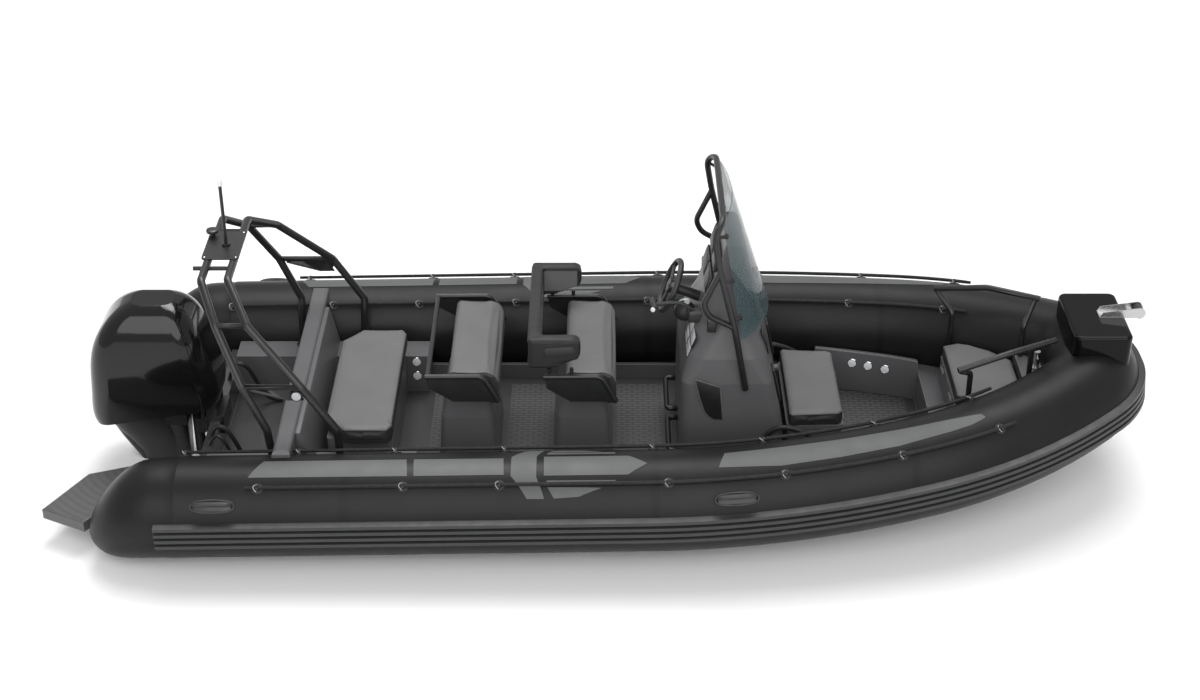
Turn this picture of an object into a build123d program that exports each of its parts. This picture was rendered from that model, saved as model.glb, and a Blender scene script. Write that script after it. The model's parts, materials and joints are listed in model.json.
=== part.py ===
from build123d import *
import os
from math import acos, cos, degrees, radians, sin, tan

# Rigid inflatable boat with a jockey console and an outboard engine.
# Millimetres. X runs forward from amidships, Y to port, Z up from the waterline.

os.makedirs("parts", exist_ok=True)

# ---------------------------------------------------------------- driving dimensions
SEAT = 0.3                 # clearance between pieces that seat on each other
RUN = 0.1                  # clearance of a shaft in its bore

TUBE_RADIUS = 280          # buoyancy tube
TUBE_OFFSET = 995          # its axis from the centreline, where it runs straight
TUBE_AXIS_Z = 347          # its axis over the water where the bow curve begins
TUBE_PITCH = 0.95          # degrees, the straight run climbs forward
STRAIGHT_END_X = 250       # where the bow curve begins
CONE_START_X = -2300       # where the stern cone begins
BOW_ARC_RADIUS = 5780      # first, easy arc of the bow curve
BOW_ARC_ANGLE = 15.4       # degrees
BOW_ARC_LIFT = 17          # degrees, how far that arc leans up out of the level
SHOULDER_ANGLE = 25        # second, tighter arc
SHOULDER_LIFT = 5
NOSE_RADIUS = 330          # last arc, round the bow
NOSE_HALF_FLAT = 40        # half of the flat stretch across the bow

STRAKE_HEIGHT = 152        # rub strake, a ribbed rubber band
STRAKE_BASE = 10
STRAKE_RIB = 17            # ribs stand this far from the base
ROPE_DIAMETER = 11         # lifelines
ROPE_STANDOFF = 20         # rope axis over the tube's skin
ROPE_ANGLE = 54            # degrees over the tube's equator

KEEL_DEPTH = 360           # hull
TRANSOM_X = -2300
TRANSOM_THICK = 60
TRANSOM_TOP = 300
DECK_Z = 110               # cockpit sole
SOLE_THICK = 20
LINER_WALL = 25
LINER_TOP = 205
LINER_GAP = 15             # from the tube's skin to the liner
SIDE_BOX_TOP = 360         # raised side decks aft
SIDE_BOX_INNER = 520
SIDE_BOX_OUTER = TUBE_OFFSET - TUBE_RADIUS - LINER_GAP
SIDE_BOX_END_X = -1050
BOW_BOX_TOP = 330

BAR = 20                   # radius of the roll bar's pipe
RAIL = 15                  # radius of hand rails


# ---------------------------------------------------------------- helpers
def save(piece, name):
    piece.label = name
    export_step(piece, f"parts/{name}.step")


def pipe(points, radius, bend):
    """A round bar along straight runs joined by bends."""
    with BuildPart() as bar:
        with BuildLine() as path:
            if len(points) > 2:
                FilletPolyline(*points, radius=bend)
            else:
                Line(*points)
        with BuildSketch(Plane(origin=path.line @ 0, z_dir=path.line % 0)):
            Circle(radius)
        sweep(path=path.line)
    return bar.part


def both_sides(points):
    """The same points on the other side of the centreline."""
    return [(x, -y, z) for x, y, z in points]


def box(low, high, fillet_radius=0, axis=Axis.Z):
    """A block between two corners, its edges along one axis rounded."""
    size = [b - a for a, b in zip(low, high)]
    middle = [(a + b) / 2 for a, b in zip(low, high)]
    with BuildPart() as block:
        with Locations(tuple(middle)):
            Box(*size)
        if fillet_radius:
            fillet(block.edges().filter_by(axis), fillet_radius)
    return block.part


def side_profile(points, half_width):
    """A slab with an outline in the XZ plane, as wide as twice half_width."""
    with BuildPart() as slab:
        with BuildSketch(Plane.XZ.offset(-half_width)):
            Polygon(*points, align=None)
        extrude(amount=2 * half_width)
    return slab.part


# ---------------------------------------------------------------- the collar's line
# A frame is the axis point, the direction ahead and the direction outboard, port side.
def lifted(frame, lift):
    """The direction of the arc's centre: inboard, leaning up by lift degrees."""
    point, ahead, outboard = frame
    up = ahead.cross(outboard)
    return up * sin(radians(lift)) - outboard * cos(radians(lift))


def turned(frame, centre_way, radius, angle):
    """The frame at the end of an arc."""
    point, ahead, outboard = frame
    swing = radians(angle)
    point = point + centre_way * (radius * (1 - cos(swing))) + ahead * (radius * sin(swing))
    lean = outboard.dot(centre_way)
    outboard = outboard + (centre_way * (cos(swing) - 1) - ahead * sin(swing)) * lean
    ahead = ahead * cos(swing) + centre_way * sin(swing)
    return point, ahead, outboard


def frame_plane(frame):
    point, ahead, outboard = frame
    return Plane(origin=point, x_dir=outboard, z_dir=ahead)


def straight_frame(x):
    """The frame at a place along the straight run."""
    ahead = Vector(cos(radians(TUBE_PITCH)), 0, sin(radians(TUBE_PITCH)))
    z = TUBE_AXIS_Z + (x - STRAIGHT_END_X) * tan(radians(TUBE_PITCH))
    return Vector(x, TUBE_OFFSET, z), ahead, Vector(0, 1, 0)


ACROSS = Vector(0, -1, 0)
bow_start = straight_frame(STRAIGHT_END_X)
bow_way = lifted(bow_start, BOW_ARC_LIFT)
shoulder_start = turned(bow_start, bow_way, BOW_ARC_RADIUS, BOW_ARC_ANGLE)
shoulder_way = lifted(shoulder_start, SHOULDER_LIFT)
# The shoulder's radius is what brings the nose arc square to the centreline.
unit_end = turned(shoulder_start, shoulder_way, 1, SHOULDER_ANGLE)
nose_ahead = unit_end[1]
nose_way = (ACROSS - nose_ahead * ACROSS.dot(nose_ahead)).normalized()
NOSE_ANGLE = degrees(acos(ACROSS.dot(nose_ahead)))
nose_step = nose_way * (1 - cos(radians(NOSE_ANGLE))) + nose_ahead * sin(radians(NOSE_ANGLE))
SHOULDER_RADIUS = (NOSE_HALF_FLAT - shoulder_start[0].Y - NOSE_RADIUS * nose_step.Y) / (
    unit_end[0].Y - shoulder_start[0].Y
)
nose_start = turned(shoulder_start, shoulder_way, SHOULDER_RADIUS, SHOULDER_ANGLE)
nose_end = turned(nose_start, nose_way, NOSE_RADIUS, NOSE_ANGLE)
# Frame at the start, direction of the centre, radius, full angle.
COLLAR_ARCS = [
    (bow_start, bow_way, BOW_ARC_RADIUS, BOW_ARC_ANGLE),
    (shoulder_start, shoulder_way, SHOULDER_RADIUS, SHOULDER_ANGLE),
    (nose_start, nose_way, NOSE_RADIUS, NOSE_ANGLE),
]
WHOLE_BOW = (BOW_ARC_ANGLE, SHOULDER_ANGLE, NOSE_ANGLE)


def collar_frame(arc, angle):
    """The frame part of the way round one of the arcs."""
    frame, way, radius, full = COLLAR_ARCS[arc]
    return turned(frame, way, radius, angle)


def collar_points(start_x, angles):
    """Ends and middles of the straight run and of some of each arc, port side."""
    points = [straight_frame(start_x)[0], bow_start[0]]
    for arc, angle in enumerate(angles):
        points += [collar_frame(arc, angle / 2)[0], collar_frame(arc, angle)[0]]
    return points


def collar_run(section, start_x, angles, across=False, whole=False):
    """A section carried along the collar's line: to the nose, or right round the boat."""
    start = straight_frame(start_x)
    points = collar_points(start_x, angles)
    far = [Vector(p.X, -p.Y, p.Z) for p in points]
    with BuildPart() as run:
        with BuildLine() as path:
            Line(points[0], points[1])
            for arc in range(len(angles)):
                ThreePointArc(*points[1 + 2 * arc : 4 + 2 * arc])
            if across or whole:
                Line(points[-1], far[-1] if whole else Vector(points[-1].X, 0, points[-1].Z))
            if whole:
                for arc in range(len(angles)):
                    ThreePointArc(*far[1 + 2 * arc : 4 + 2 * arc])
                Line(far[0], far[1])
        with BuildSketch(frame_plane(start)):
            section()
        sweep(path=path.wire(), clean=False)
    return run.part


def inboard(frame, gap):
    """A plan point inboard of the tube's skin."""
    point = frame[0] - frame[2] * (TUBE_RADIUS + gap)
    return point.X, point.Y


def plan_edges(gap, start_x, end_angles):
    """Port half of a plan outline that follows the tube: its edges, closed on the centreline."""
    first = inboard(straight_frame(start_x), gap)
    last = inboard(bow_start, gap)
    edges = [Line(first, last)]
    for arc, angle in enumerate(end_angles):
        middle = inboard(collar_frame(arc, angle / 2), gap)
        end = inboard(collar_frame(arc, angle), gap)
        edges.append(ThreePointArc(last, middle, end))
        last = end
    edges.append(Line(last, (last[0], 0)))
    edges.append(Line((last[0], 0), (first[0], 0)))
    edges.append(Line((first[0], 0), first))
    return edges


def plan_block(gap, start_x, end_angles, low, high):
    """A block between two levels whose sides follow the tubes."""
    with BuildPart() as block:
        with BuildSketch(Plane.XY.offset(low)):
            make_face(plan_edges(gap, start_x, end_angles))
            mirror(about=Plane.XZ)
        extrude(amount=high - low)
    return block.part


# ---------------------------------------------------------------- buoyancy tubes
# Distance aft of the cone's start, radius, drop, outboard shift.
CONE_SECTIONS = [
    (0, TUBE_RADIUS, 0, 0),
    (110, 0.990 * TUBE_RADIUS, 3, 0),
    (290, 0.905 * TUBE_RADIUS, 26, 5),
    (410, 0.690 * TUBE_RADIUS, 72, 14),
    (480, 0.450 * TUBE_RADIUS, 100, 20),
    (520, 0.200 * TUBE_RADIUS, 116, 24),
]


def tube_section():
    Circle(TUBE_RADIUS)


def tube_cone():
    """The stern cone, its tip low and outboard."""
    start, ahead, outboard = straight_frame(CONE_START_X)
    with BuildPart() as cone:
        for aft, radius, drop, shift in CONE_SECTIONS:
            plane = frame_plane((start - ahead * aft, ahead, outboard))
            with BuildSketch(plane):
                with Locations((shift, -drop)):
                    Circle(radius)
        loft()
    return cone.part


with BuildPart() as tube_port:
    add(tube_cone())
    add(collar_run(tube_section, CONE_START_X, WHOLE_BOW, across=True))
save(tube_port.part, "tube_port")

with BuildPart() as tube_starboard:
    mirror(tube_port.part, about=Plane.XZ, mode=Mode.ADD)
save(tube_starboard.part, "tube_starboard")


def clearance_section():
    Circle(TUBE_RADIUS + SEAT)


with BuildPart() as tube_room:
    add(collar_run(clearance_section, CONE_START_X - 1000, WHOLE_BOW, across=True))
    mirror(about=Plane.XZ)

# ---------------------------------------------------------------- rub strake
STRAKE_RIBS = 4


def strake_section():
    """Ribbed band on the tube's outer face."""
    skin = TUBE_RADIUS + SEAT
    half = STRAKE_HEIGHT / 2
    pitch = STRAKE_HEIGHT / STRAKE_RIBS
    base = skin + STRAKE_BASE
    edge = skin * cos(half / skin)
    points = [(edge, -half)]
    for rib in range(STRAKE_RIBS):
        foot = -half + rib * pitch
        points += [(base, foot + 0.12 * pitch), (base + STRAKE_RIB, foot + 0.24 * pitch)]
        points += [(base + STRAKE_RIB, foot + 0.76 * pitch), (base, foot + 0.88 * pitch)]
    points.append((edge, half))
    with BuildLine() as band:
        Polyline(*points)
        ThreePointArc((edge, half), (skin, 0), (edge, -half))
    make_face(band.edges())


rub_strake = collar_run(strake_section, CONE_START_X - 110, WHOLE_BOW, whole=True)
save(rub_strake, "rub_strake")

# ---------------------------------------------------------------- lifelines
ROPE_REACH = TUBE_RADIUS + ROPE_STANDOFF
# Side of the tube (1 outboard, -1 inboard), aft end, degrees of the two bow arcs.
LIFELINES = {
    "lifeline_outer": (1, -1910, (BOW_ARC_ANGLE, 11)),
    "lifeline_inner": (-1, -2300, (BOW_ARC_ANGLE, 13)),
}
# Fittings: places along the straight run, then degrees round the first and second arc.
FITTINGS = {
    "lifeline_outer": ((-1845, -1060, -540), (1.2, 7.4, 13.8), (9,)),
    "lifeline_inner": ((-2290, -1660, -1125, -520), (0.5, 6.8, 13.4), (9.5,)),
}


def rope_place(side):
    return side * ROPE_REACH * cos(radians(ROPE_ANGLE)), ROPE_REACH * sin(radians(ROPE_ANGLE))


def fitting_frames(line):
    straight, first, second = FITTINGS[line]
    frames = [straight_frame(x) for x in straight]
    frames += [collar_frame(0, a) for a in first]
    frames += [collar_frame(1, a) for a in second]
    return frames


for line, (side, start_x, angles) in LIFELINES.items():

    def rope_section(side=side):
        with Locations(rope_place(side)):
            Circle(ROPE_DIAMETER / 2)

    with BuildPart() as lifeline:
        add(collar_run(rope_section, start_x, angles))
        mirror(about=Plane.XZ)
    save(lifeline.part, line)

# Each fitting is a welded pad with two ears beside the rope.
EAR = (12, 8, 26)
PAD_THICK = 4
with BuildPart() as lifeline_fittings:
    for line, (side, start_x, angles) in LIFELINES.items():
        for point, ahead, outboard in fitting_frames(line):
            up = ahead.cross(outboard)
            turn = radians(ROPE_ANGLE)
            out = outboard * (side * cos(turn)) + up * sin(turn)
            base = Plane(point + out * (TUBE_RADIUS + SEAT), x_dir=ahead, z_dir=out)
            with Locations(base.location):
                Cylinder(30, 9, align=(Align.CENTER, Align.CENTER, Align.CENTER))
            with Locations(base.offset(PAD_THICK).location):
                with GridLocations(0, ROPE_DIAMETER + EAR[1] + 2 * SEAT, 1, 2):
                    Box(*EAR, align=(Align.CENTER, Align.CENTER, Align.MIN))
    mirror(about=Plane.XZ)
    add(tube_room.part, mode=Mode.SUBTRACT)
save(lifeline_fittings.part, "lifeline_fittings")

# ---------------------------------------------------------------- hull
FORE_DECK_Z = 330
# Station x, keel z, chine half breadth, chine z.
HULL_STATIONS = [
    (TRANSOM_X, -KEEL_DEPTH, 800, -25),
    (-600, -KEEL_DEPTH, 800, -15),
    (900, -0.95 * KEEL_DEPTH, 775, 15),
    (1700, -0.70 * KEEL_DEPTH, 610, 95),
    (2300, -0.28 * KEEL_DEPTH, 390, 200),
    (2800, 0.45 * KEEL_DEPTH, 90, 300),
]
ENGINE_NOTCH_HALF = 430
LOCKER_WELL = ((2110, -190, 150), (2400, 190, FORE_DECK_Z + 50))
LINER_AFT = TRANSOM_X + TRANSOM_THICK
LINER_ANGLES = (BOW_ARC_ANGLE, 6.3)   # how far round the bow arcs the sole reaches
SOLE_END_X = inboard(collar_frame(1, LINER_ANGLES[1]), LINER_GAP)[0]
SOLE_UNDER = DECK_Z - SOLE_THICK

with BuildPart() as hull_body:
    for x, keel_z, chine, chine_z in HULL_STATIONS:
        with BuildSketch(Plane.YZ.offset(x)):
            Polygon(
                (0, keel_z), (chine, chine_z), (chine, FORE_DECK_Z),
                (-chine, FORE_DECK_Z), (-chine, chine_z), align=None,
            )
    loft()
    add(tube_room.part, mode=Mode.SUBTRACT)
    add(box(*LOCKER_WELL, fillet_radius=40), mode=Mode.SUBTRACT)


def hull_slice(low, high, name):
    """The part of the hull's body inside a block, as a piece of its own."""
    with BuildPart() as piece:
        add(hull_body.part)
        add(box(low, high), mode=Mode.INTERSECT)
    save(piece.part, name)
    return piece.part


# Bottom up to the sole, transom, and the raised deck ahead of the sole.
FULL = 1200
bottom = hull_slice((TRANSOM_X - 50, -FULL, -FULL), (3000, FULL, SOLE_UNDER - SEAT), "hull")
hull_slice((TRANSOM_X - 50, -SIDE_BOX_OUTER, SOLE_UNDER), (LINER_AFT - SEAT, SIDE_BOX_OUTER, TRANSOM_TOP), "transom")
hull_slice((SOLE_END_X + SEAT, -FULL, SOLE_UNDER), (3000, FULL, FORE_DECK_Z), "fore_deck")

# ---------------------------------------------------------------- cockpit liner
save(plan_block(LINER_GAP, LINER_AFT, LINER_ANGLES, SOLE_UNDER, DECK_Z), "cockpit_sole")
BOW_BOX_AFT = 1330
BOW_BOX_WIDTH = 30


def side_walls(width, start_x, end_x, top, name):
    """Walls along both sides of the sole that follow the tubes."""
    with BuildPart() as walls:
        add(plan_block(LINER_GAP, LINER_AFT, LINER_ANGLES, DECK_Z + SEAT, top))
        add(plan_block(LINER_GAP + width, LINER_AFT - 50, (*LINER_ANGLES[:-1], LINER_ANGLES[-1] + 2), DECK_Z, top + 1), mode=Mode.SUBTRACT)
        # Only the two sides stay, clear of the middle.
        add(box((start_x, 200, DECK_Z), (end_x, 900, top)), mode=Mode.INTERSECT)
        mirror(about=Plane.XZ)
    save(walls.part, name)


side_walls(LINER_WALL, SIDE_BOX_END_X + SEAT, BOW_BOX_AFT - SEAT, LINER_TOP, "cockpit_walls")
side_walls(BOW_BOX_WIDTH, BOW_BOX_AFT, SOLE_END_X - SEAT, BOW_BOX_TOP, "bow_side_decks")
with BuildPart() as stern_side_decks:
    for side in (1, -1):
        low, high = sorted((side * SIDE_BOX_INNER, side * SIDE_BOX_OUTER))
        add(box((LINER_AFT, low, DECK_Z + SEAT), (SIDE_BOX_END_X, high, SIDE_BOX_TOP)))
save(stern_side_decks.part, "stern_side_decks")

# ---------------------------------------------------------------- swim platforms
PLATFORM_TOP = 200
PLATFORM_THICK = 63
PLATFORM_OUTLINE = [
    (TRANSOM_X - SEAT, ENGINE_NOTCH_HALF + 10), (-2720, ENGINE_NOTCH_HALF + 10), (-2945, 520),
    (-3130, 870), (-2870, 1000), (-2845, 960), (-2720, 785), (-2600, 730), (TRANSOM_X - SEAT, 730),
]
with BuildPart() as swim_platforms:
    with BuildSketch(Plane.XY.offset(PLATFORM_TOP)):
        Polygon(*PLATFORM_OUTLINE, align=None)
    extrude(amount=-PLATFORM_THICK)
    fillet(swim_platforms.edges().group_by(Axis.Z)[-1], 8)
    mirror(about=Plane.XZ)
save(swim_platforms.part, "swim_platforms")

# ---------------------------------------------------------------- bulkhead and stern bench
BULKHEAD_X = (-1800, -1700)
BULKHEAD_TOP = 620
with BuildPart() as stern_bulkhead:
    add(box((BULKHEAD_X[0], -SIDE_BOX_INNER + SEAT, DECK_Z + SEAT), (BULKHEAD_X[1], SIDE_BOX_INNER - SEAT, SIDE_BOX_TOP + 10)))
    add(box((BULKHEAD_X[0], -930, SIDE_BOX_TOP + SEAT), (BULKHEAD_X[1], 930, BULKHEAD_TOP)))
    fillet(stern_bulkhead.edges().group_by(Axis.Z)[-1], 22)
    add(tube_room.part, mode=Mode.SUBTRACT)
    # The inner lifeline passes through a notch on each side.
    with BuildPart(mode=Mode.PRIVATE) as rope_way:
        with BuildSketch(frame_plane(straight_frame(BULKHEAD_X[0] - 50))):
            with Locations(rope_place(-1)):
                Circle(ROPE_DIAMETER / 2 + 9)
            with Locations((rope_place(-1)[0] + 8, rope_place(-1)[1] - 14)):
                Circle(ROPE_DIAMETER / 2 + 9)
        extrude(amount=200)
        mirror(about=Plane.XZ)
    add(rope_way.part, mode=Mode.SUBTRACT)
save(stern_bulkhead.part, "stern_bulkhead")

BENCH_TOP = 430
BENCH_WALL = 25
BENCH = ((-1560, -500, DECK_Z + SEAT), (-1195, 500, BENCH_TOP))
with BuildPart() as stern_bench:
    add(box(*BENCH, fillet_radius=15))
    # The box is open at its aft side.
    with BuildPart(mode=Mode.PRIVATE) as bench_room:
        add(box((BENCH[0][0] - 50, BENCH[0][1] + BENCH_WALL, BENCH[0][2] + BENCH_WALL),
                (BENCH[1][0] - BENCH_WALL, BENCH[1][1] - BENCH_WALL, BENCH[1][2] - BENCH_WALL)))
    add(bench_room.part, mode=Mode.SUBTRACT)
save(stern_bench.part, "stern_bench")

CUSHION_THICK = 85
BENCH_CUSHION = [(-1572, 430), (-1455, 565), (-1205, 565), (-1178, 520)]
BOARD_THICK = 18


def mirrored_outline(points):
    """An outline from its port half, fore to aft or aft to fore."""
    return points + [(x, -y) for x, y in reversed(points)]


def pad(outline, low, high, round_over=14):
    """A cushion-shaped block: a plan outline with a rounded top edge."""
    with BuildPart() as soft:
        with BuildSketch(Plane.XY.offset(low)):
            Polygon(*mirrored_outline(outline), align=None)
        extrude(amount=high - low)
        if round_over:
            fillet(soft.edges().group_by(Axis.Z)[-1], round_over)
    return soft.part


save(pad(BENCH_CUSHION, BENCH_TOP + SEAT, BENCH_TOP + CUSHION_THICK + BOARD_THICK), "stern_bench_cushion")

# ---------------------------------------------------------------- roll bar
# Port half of each hoop: foot, kink over the tube, knee, neck, top corner.
HOOP_AFT = [(-1845, 660, 366), (-1847, 747, 649), (-1961, 739, 925), (-2102, 597, 1228), (-2202, 376, 1386)]
HOOP_FORE = [(-1462, 660, 366), (-1457, 747, 644), (-1635, 744, 922), (-1928, 600, 1230), (-2057, 365, 1386)]
HOOP_BEND = 60
FLANGE = (36, 8)


def hoop(half, radius=BAR):
    with BuildPart() as bar:
        add(pipe(half + list(reversed(both_sides(half))), radius, HOOP_BEND))
        for side in (1, -1):
            with Locations((half[0][0], side * half[0][1], SIDE_BOX_TOP + SEAT)):
                Cylinder(*FLANGE, align=(Align.CENTER, Align.CENTER, Align.MIN))
    return bar.part


save(hoop(HOOP_AFT), "roll_bar_aft_hoop")
save(hoop(HOOP_FORE), "roll_bar_fore_hoop")


def between(a, b, shorten):
    """The two points drawn together by the same length at each end."""
    a, b = Vector(*a), Vector(*b)
    way = (b - a).normalized() * shorten
    return [tuple(a + way), tuple(b - way)]


PLATE_THICK = 6
KNEE_PLATE_DEPTH = 80
with BuildPart() as roll_bar_ties:
    for place in (2, 3):
        add(pipe(between(HOOP_AFT[place], HOOP_FORE[place], 4), 0.7 * BAR, 0))
    # Knee plates under the lower ties carry the work lamps.
    knee_aft, knee_fore = HOOP_AFT[2], HOOP_FORE[2]
    with BuildSketch(Plane.XZ.offset(-knee_aft[1] - PLATE_THICK / 2)):
        Polygon(
            (knee_aft[0] + 45, knee_aft[2]), (knee_fore[0] - 35, knee_fore[2]),
            (knee_fore[0] + 5, knee_fore[2] - KNEE_PLATE_DEPTH), (knee_fore[0] - 80, knee_fore[2] - KNEE_PLATE_DEPTH),
            (knee_aft[0] + 45, knee_aft[2] - 25), align=None,
        )
    extrude(amount=PLATE_THICK)
    mirror(about=Plane.XZ)
    for half in (HOOP_AFT, HOOP_FORE):
        add(hoop(half, BAR + SEAT), mode=Mode.SUBTRACT)
save(roll_bar_ties.part, "roll_bar_ties")

TOP_PLATE_Z = 1386 + BAR + SEAT
with BuildPart() as roll_bar_top_plate:
    add(box((-2235, -170, TOP_PLATE_Z), (-2025, 170, TOP_PLATE_Z + PLATE_THICK), 20))
save(roll_bar_top_plate.part, "roll_bar_top_plate")

MAST_X = -2119
with BuildPart() as light_mast:
    with Locations((MAST_X, 0, TOP_PLATE_Z + PLATE_THICK + SEAT)):
        Cylinder(24, 12, align=(Align.CENTER, Align.CENTER, Align.MIN))
        Cylinder(10, 375, align=(Align.CENTER, Align.CENTER, Align.MIN))
        Cylinder(15, 345, align=(Align.CENTER, Align.CENTER, Align.MIN), mode=Mode.PRIVATE)
save(light_mast.part, "light_mast")
with BuildPart() as mast_lamp:
    with Locations((MAST_X, 0, TOP_PLATE_Z + PLATE_THICK + 376)):
        Cylinder(17, 38, align=(Align.CENTER, Align.CENTER, Align.MIN))
    fillet(mast_lamp.edges().group_by(Axis.Z)[-1], 8)
save(mast_lamp.part, "mast_lamp")

# ---------------------------------------------------------------- leaning seats
SEAT_PITCH = 667
SEAT_X = {"aft": -SEAT_PITCH, "fore": 0}      # fore end of each seat's rails
RAIL_Y = 462
RAIL_Z = 818


def shifted(points, dx):
    return [(p[0] + dx, *p[1:]) for p in points]


# Outline of the roll cushion from the side, x from the seat's own place.
SADDLE = [(-195, 700), (-195, 798), (-178, 815), (25, 815), (72, 795), (92, 745), (92, 625), (82, 610), (32, 610), (28, 700)]
SADDLE_HALF = 428
SEAT_POD = [(110 + SEAT, -275, 77, 330, 50), (450, -250, 50, 320, 50), (600, -200, 25, 300, 40), (700 - SEAT, -190, 22, 290, 40)]
RAIL_LINE = [(-318, RAIL_Z), (8, RAIL_Z + 2), (93, 655)]
WING = [(-312, RAIL_Z - 16), (-300, 742), (-165, 655), (70, 655), (66, 700), (25, RAIL_Z - 14)]
WING_THICK = 6
STUB_RADIUS = 12


def pod(levels):
    """A block lofted through rounded rectangles: z, aft x, fore x, half width, corner."""
    with BuildPart() as block:
        for z, aft, fore, half, corner in levels:
            with BuildSketch(Plane.XY.offset(z)):
                with Locations(((aft + fore) / 2, 0)):
                    RectangleRounded(fore - aft, 2 * half, corner)
        loft(ruled=True)
    return block.part


for name, dx in SEAT_X.items():
    with BuildPart() as pedestal:
        add(pod([(z, aft + dx, fore + dx, half, corner) for z, aft, fore, half, corner in SEAT_POD]))
    save(pedestal.part, f"{name}_seat_pedestal")
    cushion = side_profile(shifted(SADDLE, dx), SADDLE_HALF)
    with BuildPart() as seat_cushion:
        add(cushion)
        fillet(seat_cushion.faces().sort_by(Axis.Y)[0].edges(), 10)
        fillet(seat_cushion.faces().sort_by(Axis.Y)[-1].edges(), 10)
    save(seat_cushion.part, f"{name}_seat_cushion")
    with BuildPart() as rails:
        line = [(x + dx, RAIL_Y, z) for x, z in RAIL_LINE]
        add(pipe(line, RAIL, 60))
        with BuildSketch(Plane.XZ.offset(-RAIL_Y - WING_THICK / 2)):
            Polygon(*shifted(WING, dx), align=None)
        extrude(amount=WING_THICK)
        # Stubs out of the pedestal carry the wing.
        for x in (-150, -20):
            add(pipe([(x + dx, 294.9, 668), (x + dx, RAIL_Y, 668)], STUB_RADIUS, 0))
        mirror(about=Plane.XZ)
        if name == "aft":
            end = line[0]
            add(pipe([(end[0] + 14, end[1], end[2]), (end[0] + 14, -end[1], end[2])], 0.9 * RAIL, 0))
    save(rails.part, f"{name}_seat_rails")

# Backrest wraps round the fore seat.
BACK_Z = (868, 1060)
BACK_X = (-405, -335)
WING_END_X = -105
WING_INNER = 385
with BuildPart() as fore_seat_backrest:
    with BuildSketch(Plane.XY.offset(BACK_Z[0])):
        outline = [(BACK_X[0], RAIL_Y), (WING_END_X, RAIL_Y), (WING_END_X, WING_INNER), (BACK_X[1], WING_INNER)]
        Polygon(*mirrored_outline(outline), align=None)
    extrude(amount=BACK_Z[1] - BACK_Z[0])
    fillet(fore_seat_backrest.edges().filter_by(Axis.Z), 22)
    fillet(fore_seat_backrest.edges().group_by(Axis.Z)[-1], 12)
save(fore_seat_backrest.part, "fore_seat_backrest")
with BuildPart() as backrest_posts:
    for x in (-285, -160):
        foot = RAIL_Z + RAIL + 2 * (x - RAIL_LINE[0][0] + 11) / (RAIL_LINE[1][0] - RAIL_LINE[0][0]) + SEAT
        with Locations((x, RAIL_Y - 14, foot)):
            Cylinder(11, BACK_Z[0] - SEAT - foot, align=(Align.CENTER, Align.CENTER, Align.MIN))
    mirror(about=Plane.XZ)
save(backrest_posts.part, "backrest_posts")

# ---------------------------------------------------------------- console
CONSOLE = [
    (DECK_Z + SEAT, 462, 1062, 440, 60), (450, 460, 1050, 440, 60), (750, 462, 985, 432, 60),
    (900, 500, 945, 410, 110), (1060, 562, 905, 350, 150), (1200, 605, 868, 320, 120), (1480, 690, 800, 240, 50),
    (1515, 705, 785, 215, 35),
]
save(pod(CONSOLE), "console")

# Windscreen: aft corners and fore middle of its lower and upper edges.
GLASS_THICK = 6
GLASS_EDGES = [(1060, 785, 470, 968), (1770, 668, 422, 738)]     # z, corner x, corner y, middle x
with BuildPart() as windscreen:
    for z, corner_x, corner_y, middle_x in GLASS_EDGES:
        with BuildLine(Plane.XY.offset(z)) as edge:
            outer = ThreePointArc((corner_x, corner_y), (middle_x, 0), (corner_x, -corner_y))
            inner = ThreePointArc((corner_x - 2, corner_y - GLASS_THICK), (middle_x - GLASS_THICK, 0), (corner_x - 2, -corner_y + GLASS_THICK))
            Line(outer @ 0, inner @ 0)
            Line(outer @ 1, inner @ 1)
        with BuildSketch(Plane.XY.offset(z)):
            make_face(edge.edges())
    loft(ruled=True)
save(windscreen.part, "windscreen")

# Port half of the hoop round the screen: foot on the console's side to the top corner.
SCREEN_HOOP = [(822, 448, 727), (748, 500, 1135), (652, 500, 1524), (642, 440, 1757)]
# Clamps on the glass: x and y on the hoop, x and y at the glass, height.
SCREEN_CLAMPS = [(732, 500, 775, 455, 1200), (675, 500, 725, 440, 1430), (646, 455, 690, 424, 1690)]
SCREEN_GRAB = [(660, 500, 1500), (572, 500, 1308), (738, 500, 1150)]
with BuildPart() as windscreen_frame:
    add(pipe(SCREEN_HOOP + list(reversed(both_sides(SCREEN_HOOP))), RAIL, 45))
    for side in (1, -1):
        add(pipe([(x, side * y, z) for x, y, z in SCREEN_GRAB], 0.93 * RAIL, 50))
        for hoop_x, hoop_y, glass_x, glass_y, z in SCREEN_CLAMPS:
            add(pipe([(hoop_x, side * hoop_y, z), (glass_x, side * glass_y, z)], 11, 0))
    add(windscreen.part, mode=Mode.SUBTRACT)
save(windscreen_frame.part, "windscreen_frame")

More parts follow.
